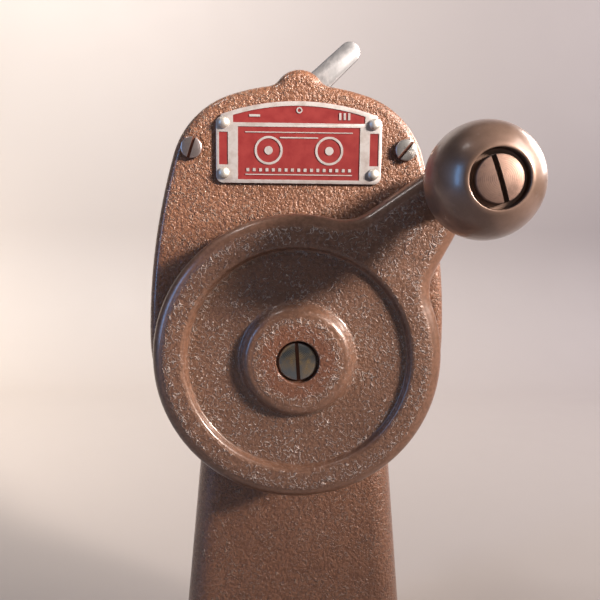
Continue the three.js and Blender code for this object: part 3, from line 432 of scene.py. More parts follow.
def outline_radius(angle, inset):
    """How far the disc and arm reach from the crank axis at an angle from the arm, less inset."""
    angle = abs(angle)
    ray = Vector((math.cos(angle), math.sin(angle)))
    end_radius = ARM_END_RADIUS - inset
    fillet_radius = ARM_FILLET + inset
    end_tangent = ARM_END + ARM_SLOPE * end_radius
    fillet_tangent = FILLET - ARM_SLOPE * fillet_radius
    if angle <= math.atan2(end_tangent.y, end_tangent.x):
        return ARM_REACH * ray.x + math.sqrt(end_radius**2 - (ARM_REACH * ray.y) ** 2)
    if angle <= math.atan2(fillet_tangent.y, fillet_tangent.x):
        return (ARM_END.dot(ARM_SLOPE) + end_radius) / ray.dot(ARM_SLOPE)
    if angle <= math.atan2(FILLET.y, FILLET.x):
        across = FILLET.x * ray.y - FILLET.y * ray.x
        return FILLET.dot(ray) - math.sqrt(fillet_radius**2 - across**2)
    return DISC_RADIUS - inset


def smoothstep(value, low, high):
    t = min(max((value - low) / (high - low), 0), 1)
    return t * t * (3 - 2 * t)


def crank_angles():
    """Angles from the arm, close together where the outline turns."""
    degrees = [*np.linspace(0, 7, 16), *np.linspace(7, 40, 46)[1:], *np.linspace(40, 180, 72)[1:]]
    half = np.radians(degrees)
    return [*half, *(-half[-2:0:-1])]


def disc_crank():
    """The disc, its hub and the arm, as rings from the hub outwards, round the edge and back in."""
    angles = crank_angles()
    rings, insets = [], []

    def ring(radius_at, depth_at, inset=0):
        points = []
        for a in angles:
            radius = radius_at(a)
            way = ARM_ANGLE + a
            x, z = radius * math.cos(way), radius * math.sin(way)
            points.append((x, depth_at(a, radius), CRANK_Z + z))
        rings.append(points)
        insets.append(inset)

    def face(a, radius):
        rise = smoothstep(radius * math.cos(a), ARM_RISE_START, ARM_RISE_END)
        return DISC_RIM_FRONT - ARM_RISE * rise

    def back(a, _radius):
        rise = smoothstep(outline_radius(a, 0), DISC_RADIUS, ARM_BACK_RADIUS)
        return DISC_BACK - ARM_BACK_RISE * rise

    recess_floor = HUB_FRONT + HUB_RECESS_DEPTH
    hub_and_dish = smooth_profile([
        (HUB_RECESS_RADIUS - 0.3, recess_floor),
        (HUB_RECESS_RADIUS, recess_floor, 0.3),
        (HUB_RECESS_RADIUS, HUB_FRONT, 0.4),
        (HUB_RADIUS - 0.3, HUB_FRONT, 3.2),
        (HUB_RADIUS + 1.6, DISC_FLOOR, 1.5),
        (DISH_RADIUS, DISC_FLOOR, 1.2),
        (DISH_RADIUS + 0.9, DISC_RIM_FRONT, 1.6),
        (DISH_RADIUS + 3.5, DISC_RIM_FRONT),
    ])
    for radius, depth in hub_and_dish:
        ring(lambda a, r=radius: r, lambda a, r, y=depth: y, inset=9)
    for inset in (EDGE_WIDTH + 1, EDGE_WIDTH + 0.5, EDGE_WIDTH):
        ring(lambda a, d=inset: outline_radius(a, d), face, inset)
    for turn in np.linspace(UP, 0, 13)[1:]:
        inset = EDGE_WIDTH * (1 - math.cos(turn))
        drop = EDGE_DEPTH * (1 - math.sin(turn))
        ring(lambda a, d=inset: outline_radius(a, d), lambda a, r, y=drop: face(a, r) + y, inset)
    ring(lambda a: outline_radius(a, 0), lambda a, r: back(a, r) - 0.5)
    ring(lambda a: outline_radius(a, 0.5), back)
    ring(lambda a: min(outline_radius(a, 0.6), ARM_BACK_RADIUS - 0.5), back)
    ring(lambda a: DISC_RADIUS - 0.7, lambda a, r: DISC_BACK)
    underside = [
        (40.6, DISC_BACK),
        (40.2, DISC_BACK - 0.5),
        (39.2, DISC_WEB_BACK),
        (12, DISC_WEB_BACK),
        (11, DISC_BACK - 0.4),
        (10.6, DISC_BACK),
    ]
    for radius, depth in underside:
        ring(lambda a, r=radius: r, lambda a, r, y=depth: y)
    disc = capped("disc_crank", rings, insets)
    bore(disc, CRANK_SHAFT_BORE, DISC_BACK - 8.5, 0, (0, CRANK_Z))
    bore(disc, CRANK_SCREW_BORE, -50, DISC_BACK - 5, (0, CRANK_Z))
    return bore(disc, KNOB_SCREW_BORE, -50, 0, (KNOB.x, KNOB.z))


def ball_knob():
    """A ball on a short neck, with a seat for the screw sunk in its front."""
    front = KNOB_Y - KNOB_RADIUS
    lip, foot = BIG_SCREW_RADIUS + KNOB_LIP, KNOB_NECK + KNOB_FLARE
    lip_angle = math.asin((lip + 0.7) / KNOB_RADIUS)
    neck_angle = math.acos(foot / KNOB_RADIUS)
    ball = arc((0, KNOB_Y), KNOB_RADIUS, lip_angle - UP, neck_angle, 36)
    seat, lip_front, neck_front = front + KNOB_SEAT_DEPTH, ball[0][1] - 0.05, ball[-1][1] + 2.2
    corners = [
        (0, seat),
        (lip, seat, 0.6),
        (lip, lip_front, 0.5),
        *ball,
        (KNOB_NECK, neck_front, 1.6),
        (KNOB_NECK, (neck_front + KNOB_BACK) / 2),
        (foot, KNOB_BACK - 0.8, 0.5),
        (foot - 0.4, KNOB_BACK),
    ]
    knob = turned("ball_knob", corners, (KNOB.x, KNOB.z), steps=112)
    return bore(knob, KNOB_BORE, front, KNOB_BACK + PAST, (KNOB.x, KNOB.z))


# ---- Screws, rivets and nameplate ----

# Shares of a screw's radius and of its head.
CROWN_SHARE, SLOT_SHARE = 0.1, 0.55


def slotted_screw(name, node, head, slot, slant, shank):
    """A cheese-head screw in place of a node. slant leans its slot to +X, in degrees."""
    low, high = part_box(node)
    front, tip = low.y / MM, high.y / MM
    radius = (high.x - low.x) / (2 * MM)
    at = ((high.x + low.x) / (2 * MM), (high.z + low.z) / (2 * MM))
    crown = CROWN_SHARE * radius
    corners = [
        (0, front),
        (radius * 0.6, front + crown * 0.3),
        (radius - 0.1, front + crown, 0.45),
        (radius, front + head),
        (shank, front + head),
        (shank, tip),
    ]
    screw = turned(name, corners, at, steps=64)
    reach, slot_floor = 2 * radius, front + SLOT_SHARE * head
    cut = block("slot", (-slot / 2, front - PAST, -reach), (slot / 2, slot_floor, reach))
    turn_and_move(cut, math.radians(slant), "Y", (at[0], 0, at[1]))
    return combine(screw, cut, "DIFFERENCE")


def dome_rivet(name, at, seat):
    """A domed head on a short shank. seat is where the head meets the plate."""
    head, rise, shank = 1.75, 1.15, 0.9
    crown = [(head * math.cos(a), seat - rise * math.sin(a)) for a in np.linspace(UP, 0, 9)]
    under = [(head - 0.05, seat + 0.1), (shank, seat + 0.1), (shank, seat + 2)]
    return turned(name, crown + under, at, steps=40)


PLATE_BOTTOM, PLATE_CORNER_TOP, PLATE_ARCH_TOP = CRANK_Z + 53.5, CRANK_Z + 74, CRANK_Z + 78.8
PLATE_HALF_WIDTH, PLATE_CORNER = 26, 2.2
PLATE_RISE = PLATE_ARCH_TOP - PLATE_CORNER_TOP
PLATE_RADIUS = (PLATE_HALF_WIDTH**2 + PLATE_RISE**2) / (2 * PLATE_RISE)
ETCH_DEPTH = 0.18


def plate_outline(inset):
    """A plate with an arched top, drawn in by inset."""
    corner = PLATE_CORNER - inset
    inner = PLATE_HALF_WIDTH - PLATE_CORNER
    radius = PLATE_RADIUS - inset
    start = math.acos((inner + 0.6) / PLATE_RADIUS)
    half = arc((inner, PLATE_BOTTOM + PLATE_CORNER), corner, -UP, 0, 8)
    half += arc((inner, PLATE_CORNER_TOP - PLATE_CORNER), corner, 0, start, 8)
    half += arc((0, PLATE_ARCH_TOP - PLATE_RADIUS), radius, start, UP, 16)
    return mirror_points(half)


def arched_band(half_width, low_z, inset):
    """The band under the plate's arched top edge."""
    radius = PLATE_RADIUS - inset
    start = math.acos(half_width / radius)
    half = [(half_width, low_z)] + arc((0, PLATE_ARCH_TOP - PLATE_RADIUS), radius, start, UP, 16)
    return mirror_points(half)


def sign_plate(front, back):
    """An etched plate: fields sunk in its face, with plain marks left standing in them.

    Heights on the plate are above the crank's axis.
    """
    sunk, z = front + ETCH_DEPTH, CRANK_Z
    rings = []
    for y, inset in ((back, 0), (front + 0.3, 0), (front + 0.09, 0.09), (front, 0.3)):
        rings.append([(x, y, z) for x, z in plate_outline(inset)])
    plate = capped("sign_plate", rings)
    fields = [
        rectangle(-19.1, 19.1, z + 54.7, z + 70.9),
        arched_band(20.6, z + 72.1, 1.45),
        rectangle(-25, -22.2, z + 59.2, z + 69.2),
        rectangle(22.2, 25, z + 59.2, z + 69.2),
    ]
    for outline in fields:
        combine(plate, prism("field", outline, front - PAST, sunk), "DIFFERENCE")

    root = sunk + 0.1
    one_bar = [rectangle(-15.6, -12.2, z + 73.9, z + 74.6)]
    three_bars = [rectangle(x, x + 0.7, z + 73.2, z + 75.3) for x in (12.4, 13.8, 15.2)]
    long_lines = [rectangle(-16.8, 16.8, level, level + 0.3) for level in (z + 56.1, z + 69.1)]
    hole_half, hole_pitch = 0.45, 2
    film_holes = []
    for step in range(-8, 9):
        x = hole_pitch * step
        film_holes.append(rectangle(x - hole_half, x + hole_half, z + 57.2, z + 58.2))
    for outline in one_bar + three_bars + long_lines + film_holes:
        combine(plate, prism("mark", outline, front, root), "UNION")

    reel_x, reel_z = 9.5, z + 63.7
    round_marks = [
        (0, z + 76, 0.95, 0.55),
        (-reel_x, reel_z, 4.4, 3.7),
        (reel_x, reel_z, 4.4, 3.7),
        (-reel_x, reel_z, 1.3, 0),
        (reel_x, reel_z, 1.3, 0),
    ]
    for x, level, outer, inner in round_marks:
        at = (x, level)
        mark = cylinder("mark", outer, front, root, at, steps=40)
        if inner:
            hole = cylinder("hole", inner, front - PAST, root + PAST, at, steps=40)
            combine(mark, hole, "DIFFERENCE")
        combine(plate, mark, "UNION")
    film = rectangle(-6, 6, z + 67.45, z + 67.85)
    return combine(plate, prism("mark", film, front, root), "UNION")


# ---- Spindle side ----


def flange_disc():
    """The disc that a reel bears on, with a set-screw hole in its hub."""
    hub, radius, front, back = 10, 20, 28, 30.5
    shaft_bore, screw_hole, screw_y = 5.1, 1.6, 26
    corners = [
        (3, front - 4),
        (hub, front - 4, 0.5),
        (hub, front, 1),
        (radius, front, 0.6),
        (radius, back, 0.6),
        (3, back),
    ]
    flange = turned("reel_flange_disc", corners, (0, SPINDLE_Z))
    bore(flange, shaft_bore, 20, 34, (0, SPINDLE_Z))
    hole = cylinder("hole", screw_hole, 0, 14, steps=24)
    turn_and_move(hole, UP, "X", (0, screw_y, SPINDLE_Z))
    return combine(flange, hole, "DIFFERENCE")


def spindle_bar():
    """A shaft that ends in a square with rounded corners, slotted for the latch."""
    end, side, corner_radius = 56, 3.95, 5.06
    slot_half, slot_depth = 1.4, 8
    nose_radius, shaft_radius, shoulder = 3.5, 4.76, -18.9
    body_radius, body_front, body_back = 5.4, -12.2, 2.7
    corners = [
        (nose_radius - 0.1, -22.3),
        (nose_radius, shoulder),
        (shaft_radius, shoulder),
        (shaft_radius, 31),
    ]
    bar = turned("spindle_bar", corners, (0, SPINDLE_Z))
    body = cylinder("body", body_radius, body_front, body_back, (0, SPINDLE_Z))
    combine(bar, body, "UNION")
    square = block("square", (-side, 29, SPINDLE_Z - side), (side, end, SPINDLE_Z + side))
    rounding = [(corner_radius, 28), (corner_radius, end, 0.8), (0, end)]
    combine(square, turned("rounding", rounding, (0, SPINDLE_Z)), "INTERSECT")
    combine(bar, square, "UNION")
    slot = block("slot", (-slot_half, end - slot_depth, SPINDLE_Z - slot_depth),
                 (slot_half, end + 4, SPINDLE_Z + slot_depth))
    return combine(bar, slot, "DIFFERENCE")


def latch_blade():
    """A flat blade with round ends, in line with the spindle."""
    pivot, length, half, pin_bore = 51.8, 14, 3, 1.2
    rings = []
    for x, inset in ((-1, 0.3), (-0.7, 0), (0.7, 0), (1, 0.3)):
        outline = arc((pivot, SPINDLE_Z), half - inset, UP, 3 * UP, 16)
        outline += arc((pivot + length - half, SPINDLE_Z), half - inset, -UP, UP, 16)
        rings.append([(x, y, z) for y, z in outline])
    hole = cylinder("hole", pin_bore, -2, 2, steps=24)
    turn_and_move(hole, UP, "Z", (0, pivot, SPINDLE_Z))
    return combine(capped("latch_blade", rings), hole, "DIFFERENCE")


# ---- Shift lever ----


def lever_blade():
    """A flat lever leaning towards +X, on a round hub."""
    lean, half, reach = math.radians(46.6), 3.45, 25.9
    hub, opening, hub_front = 5.2, 0.65, -20.6

    def outline(inset):
        points = arc((0, 0), hub - inset, math.pi + opening, TURN - opening, 20)
        return points + arc((0, reach - half), half - inset, 0, math.pi, 24)

    rings = []
    front_edge = [(-13.6, 0.5), (-13.45, 0.15), (-13.1, 0)]
    back_edge = [(-12.2, 0), (-11.85, 0.15), (-11.7, 0.5)]
    for y, inset in front_edge + back_edge:
        ring = []
        for x, z in outline(inset):
            u = x * math.cos(lean) + z * math.sin(lean)
            v = z * math.cos(lean) - x * math.sin(lean)
            ring.append((u, y, SHIFT_Z + v))
        rings.append(ring)
    lever = capped("lever_blade", rings)
    barrel = [(hub - 0.3, hub_front), (hub, hub_front + 0.3), (hub, -12.5)]
    combine(lever, turned("barrel", barrel, (0, SHIFT_Z)), "UNION")
    return bore(lever, SHIFT_BORE, -24, -10, (0, SHIFT_Z))


# ---- Materials ----

THIN_PAINT = (0.15, 0.058, 0.031)
SCRATCH_STRETCH = (9, 1, 0.7)
SCRATCH_DEPTH = 0.004


class Shader:
    """One material's nodes. Lengths are in millimetres, in the piece's own coordinates."""

    def __init__(self, name):
        self.material = bpy.data.materials.new(name)
        self.material.use_nodes = True
        self.tree = self.material.node_tree
        self.surface = self.tree.nodes["Principled BSDF"]
        coordinates = self.tree.nodes.new("ShaderNodeTexCoord").outputs["Object"]
        self.place = self.vector("MULTIPLY", coordinates, (1 / MM, 1 / MM, 1 / MM))

    def put(self, socket, value):
        if isinstance(value, bpy.types.NodeSocket):
            self.tree.links.new(value, socket)
        elif value is not None:
            socket.default_value = value

    def vector(self, operation, a, b=(0, 0, 0)):
        node = self.tree.nodes.new("ShaderNodeVectorMath")
        node.operation = operation
        self.put(node.inputs[0], a)
        self.put(node.inputs[1], b)
        return node.outputs["Value" if operation == "LENGTH" else "Vector"]

    def stretch(self, factors):
        return self.vector("MULTIPLY", self.place, factors)

    def from_line(self, at):
        """How far a point is from the line along Y through at, which is (x, z)."""
        x, z = at
        return self.vector("LENGTH", self.vector("SUBTRACT", self.stretch((1, 0, 1)), (x, 0, z)))

    def math(self, operation, a, b=0.5, clamp=False):
        node = self.tree.nodes.new("ShaderNodeMath")
        node.operation = operation
        node.use_clamp = clamp
        self.put(node.inputs[0], a)
        self.put(node.inputs[1], b)
        return node.outputs[0]

    def axis(self, name):
        node = self.tree.nodes.new("ShaderNodeSeparateXYZ")
        self.put(node.inputs[0], self.place)
        return node.outputs[name]

    def noise(self, per_mm, detail, roughness=0.5, distortion=0, place=None):
        node = self.tree.nodes.new("ShaderNodeTexNoise")
        self.put(node.inputs["Vector"], place or self.place)
        node.inputs["Scale"].default_value = per_mm
        node.inputs["Detail"].default_value = detail
        node.inputs["Roughness"].default_value = roughness
        node.inputs["Distortion"].default_value = distortion
        return node.outputs["Fac"]

    def ramp(self, value, low, high, to_low=0, to_high=1):
        node = self.tree.nodes.new("ShaderNodeMapRange")
        for socket, number in zip(node.inputs, (value, low, high, to_low, to_high)):
            self.put(socket, number)
        return node.outputs["Result"]

    def band(self, value, start, full, fade, end):
        """1 from full to fade, and falling to 0 at start and at end."""
        return self.math("MULTIPLY", self.ramp(value, start, full), self.ramp(value, end, fade))

    def mix(self, share, a, b):
        node = self.tree.nodes.new("ShaderNodeMix")
        node.data_type = "RGBA"
        self.put(node.inputs[0], share)
        self.put(node.inputs[6], a if isinstance(a, bpy.types.NodeSocket) else (*a, 1))
        self.put(node.inputs[7], b if isinstance(b, bpy.types.NodeSocket) else (*b, 1))
        return node.outputs[2]

    def attribute(self, name):
        node = self.tree.nodes.new("ShaderNodeAttribute")
        node.attribute_name = name
        return node.outputs["Fac"]

    def bump(self, height, millimetres):
        node = self.tree.nodes.new("ShaderNodeBump")
        node.inputs["Distance"].default_value = MM * millimetres
        self.put(node.inputs["Height"], height)
        return node.outputs["Normal"]

    def finish(self, colour, roughness, metallic=0, normal=None, coat=0, coat_roughness=0.2):
        self.put(self.surface.inputs["Base Color"], colour)
        self.put(self.surface.inputs["Roughness"], roughness)
        self.put(self.surface.inputs["Metallic"], metallic)
        self.put(self.surface.inputs["Normal"], normal)
        self.put(self.surface.inputs["Coat Weight"], coat)
        self.put(self.surface.inputs["Coat Roughness"], coat_roughness)
        return self.material


def worms(s, per_mm, lines):
    """Thin winding ridges: the contour lines of a noise."""
    field = s.noise(per_mm, detail=1.5, distortion=0.4)
    wave = s.math("ABSOLUTE", s.math("SINE", s.math("MULTIPLY", field, math.pi * lines)))
    return s.ramp(wave, 0.5, 0.05)


def wrinkle_enamel(name, hollow, base, ridge_glint_colour, cover, peel, areas=None):
    """Wrinkle enamel: orange peel with clusters of worm-like ridges, their tops painted pale as
    painted glints.

    cover is the ridges' share, from 0 to 1, and peel how deep the orange peel is. areas gives
    three masks: how rough the paint is, where ridges always stand and where it is thin.
    """
    s = Shader(name)
    edge = 0.62 - 0.24 * cover
    patches = s.math("ADD", s.math("MULTIPLY", s.noise(0.14, detail=2), 0.5),
                     s.math("MULTIPLY", s.noise(0.85, detail=2), 0.5))
    clusters = s.ramp(patches, edge - 0.03, edge + 0.05)
    breaks = s.ramp(s.noise(1.3, detail=1), 0.42, 0.52)
    strength = 1.0
    if areas:
        strength, always, thin = areas(s)
        clusters = s.math("MAXIMUM", clusters, always)
        breaks = s.math("MAXIMUM", breaks, s.math("MULTIPLY", always, 0.6))
    ridges = s.math("MULTIPLY", s.math("MULTIPLY", worms(s, 0.62, 4), breaks), clusters)
    pits = s.ramp(s.noise(0.95, detail=2, roughness=0.6), 0.36, 0.62)
    grain = s.noise(2.2, detail=2, roughness=0.6)
    height = s.math("ADD", s.math("MULTIPLY", ridges, 2.0), s.math("MULTIPLY", pits, peel))
    height = s.math("ADD", height, s.math("MULTIPLY", grain, 0.7))
    height = s.math("MULTIPLY", height, strength)

    drift = s.ramp(s.noise(0.06, detail=3), 0.3, 0.7, 0.55, 1)
    colour = s.mix(s.math("MULTIPLY", pits, drift), hollow, base)
    if areas:
        colour = s.mix(thin, colour, THIN_PAINT)
    # The ridge tops are painted pale: painted glints, a highlight put into the colour.
    pale = s.math("MULTIPLY", s.math("MULTIPLY", strength, ridges), 0.55, clamp=True)
    colour = s.mix(pale, colour, ridge_glint_colour)
    grime = s.ramp(s.noise(0.16, detail=4, roughness=0.65), 0.58, 0.74)
    colour = s.mix(s.math("MULTIPLY", grime, 0.3), colour, [0.55 * c for c in hollow])
    roughness = s.ramp(grain, 0.35, 0.65, 0.28, 0.42)
    return s.finish(colour, roughness, metallic=0.1, normal=s.bump(height, 0.24), coat=0.6,
                    coat_roughness=0.17)


def disc_areas(s):
    """Smooth on the rounded edge, the hub's shoulder and the dish's wall, with ridges beside them.

    The third mask is the hub's face, where the paint is thin.
    """
    inset = s.attribute("inset")
    radius = s.from_line((0, CRANK_Z))
    wobble = s.ramp(s.noise(0.3, detail=2), 0.3, 0.7, -0.5, 0.5)
    uneven_inset = s.math("ADD", inset, wobble)
    uneven_radius = s.math("ADD", radius, wobble)

    beside_edge = s.band(uneven_inset, 3.5, 4.0, 5.5, 6.2)
    beside_dish_wall = s.band(radius, 32.0, 32.4, 33.1, 33.5)
    on_hub = s.band(uneven_radius, 9.5, 11.5, 13.2, 14.0)
    always = s.math("MAXIMUM", s.math("MAXIMUM", beside_edge, beside_dish_wall), on_hub)

    off_edge = s.ramp(inset, 2.8, 3.6)
    shoulder = s.band(radius, 13.4, 14.0, 16.4, 17.4)
    dish_wall = s.band(radius, 33.2, 33.6, 35.0, 35.6)
    quiet = s.math("MULTIPLY", s.math("ADD", shoulder, dish_wall), 0.8)
    strength = s.math("MULTIPLY", off_edge, s.math("SUBTRACT", 1.0, quiet, clamp=True))
    hub_face = s.ramp(uneven_radius, 12.0, 10.5)
    return strength, always, hub_face


def metal(name, colour, stain, roughness, scale=0.5, stain_from=0.5):
    """Worn bare metal with tarnish in patches and fine scratches."""
    s = Shader(name)
    patches = s.ramp(s.noise(scale, detail=5, roughness=0.62), stain_from, stain_from + 0.22)
    scratches = s.noise(1.2, detail=3, place=s.stretch(SCRATCH_STRETCH))
    shade = s.mix(s.math("MULTIPLY", patches, 0.8), colour, stain)
    rough = s.math("ADD", s.ramp(scratches, 0.3, 0.7, roughness - 0.07, roughness + 0.09),
                   s.math("MULTIPLY", patches, 0.16))
    return s.finish(shade, rough, metallic=0.95, normal=s.bump(scratches, SCRATCH_DEPTH))


def turned_metal(name, node, colour, stain, rust, roughness, slot_depth):
    """A screw's turned face: rings round its axis, tarnish, and rust down in the slot."""
    s = Shader(name)
    middle = centre(node)
    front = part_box(node)[0].y / MM
    radius = s.from_line((middle.x, middle.z))
    rings = s.math("SINE", s.math("MULTIPLY", radius, 14))
    uneven = s.noise(0.3, detail=4, roughness=0.7)
    shade = s.mix(s.ramp(uneven, 0.42, 0.68), colour, stain)
    down = s.ramp(s.axis("Y"), front + 0.35 * slot_depth, front + 0.75 * slot_depth)
    shade = s.mix(down, shade, rust)
    rough = s.math("ADD", s.ramp(uneven, 0.3, 0.7, roughness - 0.05, roughness + 0.12),
                   s.math("MULTIPLY", down, 0.4))
    metallic = s.ramp(down, 0, 1, 0.95, 0.3)
    return s.finish(shade, rough, metallic, s.bump(s.math("MULTIPLY", rings, uneven), 0.012))


def sign_enamel(front):
    """Red enamel sunk between bare lines, with dull patches on the metal."""
    s = Shader("sign_enamel_red")
    sunk = s.ramp(s.axis("Y"), front + 0.07, front + 0.13)
    cloud = s.noise(0.35, detail=4, roughness=0.6)
    red = s.mix(s.ramp(cloud, 0.35, 0.65), (0.16, 0.016, 0.016), (0.20, 0.026, 0.024))
    bare = s.mix(s.ramp(cloud, 0.45, 0.75), (0.52, 0.47, 0.45), (0.38, 0.31, 0.28))
    shade = s.mix(sunk, bare, red)
    rough = s.ramp(sunk, 0, 1, 0.38, 0.32)
    grain = s.noise(3, detail=2)
    return s.finish(shade, rough, s.ramp(sunk, 0, 1, 0.5, 0), s.bump(grain, 0.012), coat=0.2)


def satin_lacquer():
    """The knob's brown lacquer, cloudy and a little worn."""
    s = Shader("satin_lacquer")
    cloud = s.noise(0.13, detail=4, roughness=0.6)
    shade = s.mix(s.ramp(cloud, 0.35, 0.68), (0.165, 0.098, 0.069), (0.235, 0.145, 0.108))
    worn = s.ramp(s.noise(0.5, detail=5, roughness=0.7), 0.6, 0.72)
    shade = s.mix(s.math("MULTIPLY", worn, 0.3), shade, (0.27, 0.20, 0.17))
    grain = s.noise(5, detail=2)
    rough = s.ramp(cloud, 0.3, 0.7, 0.36, 0.46)
    return s.finish(shade, rough, 0.55, s.bump(grain, 0.006), coat=0.8)


def paint(piece, material):
    piece.data.materials.clear()
    piece.data.materials.append(material)


# Each enamel's ridge colour is the pale tint painted on its ridge tops: painted glints.
CASE_ENAMEL = wrinkle_enamel(
    "wrinkle_enamel_case", hollow=(0.135, 0.052, 0.026), base=(0.232, 0.104, 0.057),
    ridge_glint_colour=(0.42, 0.30, 0.23), cover=0.6, peel=0.72)
DISC_ENAMEL = wrinkle_enamel(
    "wrinkle_enamel_disc", hollow=(0.115, 0.053, 0.031), base=(0.192, 0.094, 0.058),
    ridge_glint_colour=(0.72, 0.60, 0.54), cover=0.62, peel=0.5, areas=disc_areas)
PLATED = metal("plated_zinc", (0.31, 0.30, 0.305), (0.265, 0.25, 0.25), roughness=0.46)
SHAFT_STEEL = metal("shaft_steel", (0.58, 0.57, 0.55), (0.42, 0.38, 0.33), roughness=0.27)
GEAR_STEEL = metal("gear_steel", (0.38, 0.37, 0.35), (0.24, 0.19, 0.14), roughness=0.36, scale=0.25)
BRONZE = metal("bearing_bronze", (0.56, 0.36, 0.17), (0.30, 0.18, 0.09), roughness=0.34, scale=0.3)
RIVET = metal("rivet_aluminium", (0.62, 0.57, 0.51), (0.36, 0.24, 0.17), roughness=0.52, scale=0.9,
              stain_from=0.55)

# ---- The object ----


def add(piece, material, slot, body, *nodes):
    paint(piece, material)
    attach(piece, body)
    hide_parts(*nodes)


add(gear_case_cover(), CASE_ENAMEL, "wrinkle_enamel", "housing", "gearcase_cover")
add(column_body(), CASE_ENAMEL, "wrinkle_enamel", "housing", "column_casting")
add(disc_crank(), DISC_ENAMEL, "wrinkle_enamel", "crank", "crank_disc")
add(ball_knob(), satin_lacquer(), "knob_lacquer", "knob", "crank_knob")

RUST, DARK_RUST = (0.10, 0.035, 0.02), (0.05, 0.03, 0.022)
crank_steel = turned_metal(
    "crank_screw_steel", "crank_screw", colour=(0.21, 0.24, 0.26), stain=(0.44, 0.33, 0.19),
    rust=RUST, roughness=0.17, slot_depth=1.2)
crank_screw = slotted_screw("big_screw_crank", "crank_screw", head=2.1, slot=1.1, slant=-4, shank=2.8)
add(crank_screw, crank_steel, "tarnished_steel", "crank", "crank_screw")

knob_steel = turned_metal(
    "knob_screw_steel", "knob_screw", colour=(0.30, 0.19, 0.15), stain=(0.19, 0.12, 0.095),
    rust=DARK_RUST, roughness=0.5, slot_depth=1.4)
knob_screw = slotted_screw("big_screw_knob", "knob_screw", head=2.5, slot=1.25, slant=-19, shank=4)
add(knob_screw, knob_steel, "tarnished_steel", "crank", "knob_screw")

PINKISH, BRIGHT = (0.48, 0.40, 0.39), (0.62, 0.60, 0.58)
case_screws = ((18, PINKISH), (40, BRIGHT), (-35, BRIGHT), (65, BRIGHT))
for number, (slant, colour) in enumerate(case_screws, 1):
    node = f"cover_screw_{number}"
    steel = turned_metal(
        f"case_screw_steel_{number}", node, colour=colour, stain=[0.7 * c for c in colour],
        rust=RUST, roughness=0.28, slot_depth=1)
    screw = slotted_screw(f"case_screw_{number}", node, head=1.8, slot=1, slant=slant, shank=2)
    add(screw, steel, "screw_steel", "housing", node)

low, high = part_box("nameplate")
plate_front = low.y / MM
plate = sign_plate(plate_front, high.y / MM)
add(plate, sign_enamel(plate_front), "sign_enamel", "housing", "nameplate")
for number in range(1, 5):
    node = f"nameplate_rivet_{number}"
    middle = centre(node)
    rivet = dome_rivet(f"sign_rivet_{number}", (middle.x, middle.z), plate_front - 0.3)
    add(rivet, RIVET, "rivet_aluminium", "housing", node)

add(lever_blade(), PLATED, "plated_steel", "lever", "shift_lever")
add(flange_disc(), PLATED, "plated_steel", "spindle", "reel_flange")
add(spindle_bar(), SHAFT_STEEL, "shaft_steel", "spindle", "spindle_shaft")
add(latch_blade(), PLATED, "plated_steel", "latch", "spindle_latch")

# The pieces left as the solid model has them get finer materials in the same slots.
SLOT_MATERIALS = {"gear_steel": GEAR_STEEL, "bronze": BRONZE, "shaft_steel": SHAFT_STEEL}
for part in frame["record"]["subparts"]:
    if part["material_slot"] in SLOT_MATERIALS:
        for material_slot in frame["nodes"][part["node"]].material_slots:
            material_slot.material = SLOT_MATERIALS[part["material_slot"]]

# ---- Floor, camera and light ----

FLOOR_Z = -0.2
BEND_Y, BEND_RADIUS = 430, 170
SWEEP_FRONT, SWEEP_HALF_WIDTH, SWEEP_TOP = -2200, 2600, 1500
FADE_HALF_WIDTH = 420


def stage_shader_painted_falloff(name, left, right):
    """Matt paper that changes from one colour to another across X: its tint turns from cream to
    pinkish grey, and it is painted darker towards +X as painted light falling off across it.
    """
    s = Shader(name)
    across = s.ramp(s.axis("X"), -FADE_HALF_WIDTH, FADE_HALF_WIDTH)
    grain = s.noise(0.02, detail=3)
    shade = s.mix(across, left, right)
    return s.finish(shade, s.ramp(grain, 0.3, 0.7, 0.62, 0.72))


def sweep():
    """A pale floor that curves up into a backdrop."""
    profile = [(SWEEP_FRONT, FLOOR_Z), (BEND_Y, FLOOR_Z)]
    bend = arc((BEND_Y, FLOOR_Z + BEND_RADIUS), BEND_RADIUS, -UP, 0, 13)
    profile += bend[1:] + [(BEND_Y + BEND_RADIUS, SWEEP_TOP)]
    vertices = [(x, y, z) for y, z in profile for x in (-SWEEP_HALF_WIDTH, SWEEP_HALF_WIDTH)]
    faces = [(2 * i, 2 * i + 1, 2 * i + 3, 2 * i + 2) for i in range(len(profile) - 1)]
    return new_object("sweep", vertices, faces, smooth_angle=60)


floor = sweep()
# The sweep is painted about half as bright at +X as at -X: painted light falling off from left to
# right, with a cream to pinkish grey tint.
paint(floor, stage_shader_painted_falloff("sweep_painted_falloff", (0.60, 0.53, 0.47), (0.285, 0.25, 0.257)))

# Level lines along Y meet at this slope from the picture's middle, to the right and down.
VANISHING_SLOPE = (-0.02012, -0.14396)
FOCAL_WIDTHS = 1.0767
CAMERA_ROLL = math.radians(0.5)
CAMERA_PLACE = (-0.0036, -0.232, 0.1962)


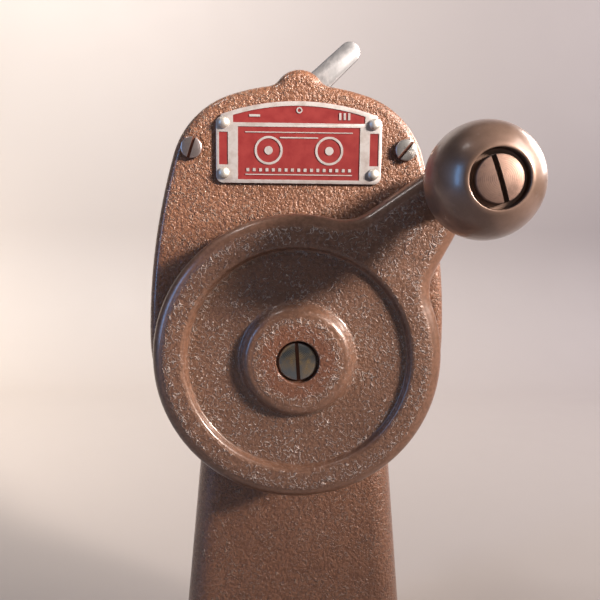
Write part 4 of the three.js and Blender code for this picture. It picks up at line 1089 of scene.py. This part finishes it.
def photo_camera():
    """The camera where the photograph was taken. FOCAL_WIDTHS is in picture widths."""
    across, down = VANISHING_SLOPE
    # The frame's axes as the picture shows them, each (right, down, away).
    ahead = Vector((across, down, 1)).normalized()
    up = Vector((math.sin(CAMERA_ROLL), -math.cos(CAMERA_ROLL), 0))
    above = (up - ahead * up.dot(ahead)).normalized()
    right = ahead.cross(above)
    rightwards, downwards, away = Matrix((right, ahead, above)).transposed()
    data = bpy.data.cameras.new("camera")
    data.sensor_width = 36
    data.lens = data.sensor_width * FOCAL_WIDTHS
    camera = bpy.data.objects.new("camera", data)
    turn = Matrix((rightwards, -downwards, -away)).transposed()
    camera.matrix_world = Matrix.Translation(CAMERA_PLACE) @ turn.to_4x4()
    bpy.context.scene.collection.objects.link(camera)
    bpy.context.scene.camera = camera


def light(name, kind, position, target, watts, colour, **settings):
    """settings are the lamp's own, such as its size."""
    data = bpy.data.lights.new(name, kind)
    data.energy = watts
    data.color = colour
    for setting, value in settings.items():
        setattr(data, setting, value)
    lamp = bpy.data.objects.new(name, data)
    lamp.location = position
    aim = Vector(target) - Vector(position)
    lamp.rotation_euler = aim.to_track_quat("-Z", "Y").to_euler()
    bpy.context.scene.collection.objects.link(lamp)


def panel_light(name, position, target, size, watts, colour):
    width, height = size
    light(name, "AREA", position, target, watts, colour, shape="RECTANGLE", size=width,
          size_y=height)


photo_camera()
light("key", "SPOT", position=(0.82, -0.54, 0.62), target=(0.01, -0.04, 0.332), watts=275,
      colour=(1, 0.92, 0.84), spot_size=math.radians(25.2), spot_blend=1, shadow_soft_size=0.13)
panel_light("window", position=(-0.80, -0.44, 0.32), target=(0, -0.05, 0.19), size=(0.14, 0.55),
            watts=2.2, colour=(0.22, 0.50, 1))
panel_light("gloss", position=(0.72, -0.25, 0.70), target=(0.03, -0.06, 0.24), size=(0.6, 0.6),
            watts=7, colour=(1, 0.94, 0.90))
panel_light("rim", position=(0.70, 0.42, 0.50), target=(0, 0, 0.20), size=(0.4, 0.4), watts=4.5,
            colour=(1, 0.95, 0.90))
light("backdrop", "SPOT", position=(-0.40, -0.10, 0.95), target=(-0.03, 0.6, 0.42), watts=54,
      colour=(1, 0.98, 0.96), spot_size=math.radians(92), spot_blend=1, shadow_soft_size=0.1)

world = bpy.data.worlds.new("studio")
world.use_nodes = True
background = world.node_tree.nodes["Background"]
background.inputs["Color"].default_value = (0.95, 0.82, 0.74, 1)
background.inputs["Strength"].default_value = 0.14
bpy.context.scene.world = world
bpy.context.scene.view_settings.view_transform = "Standard"
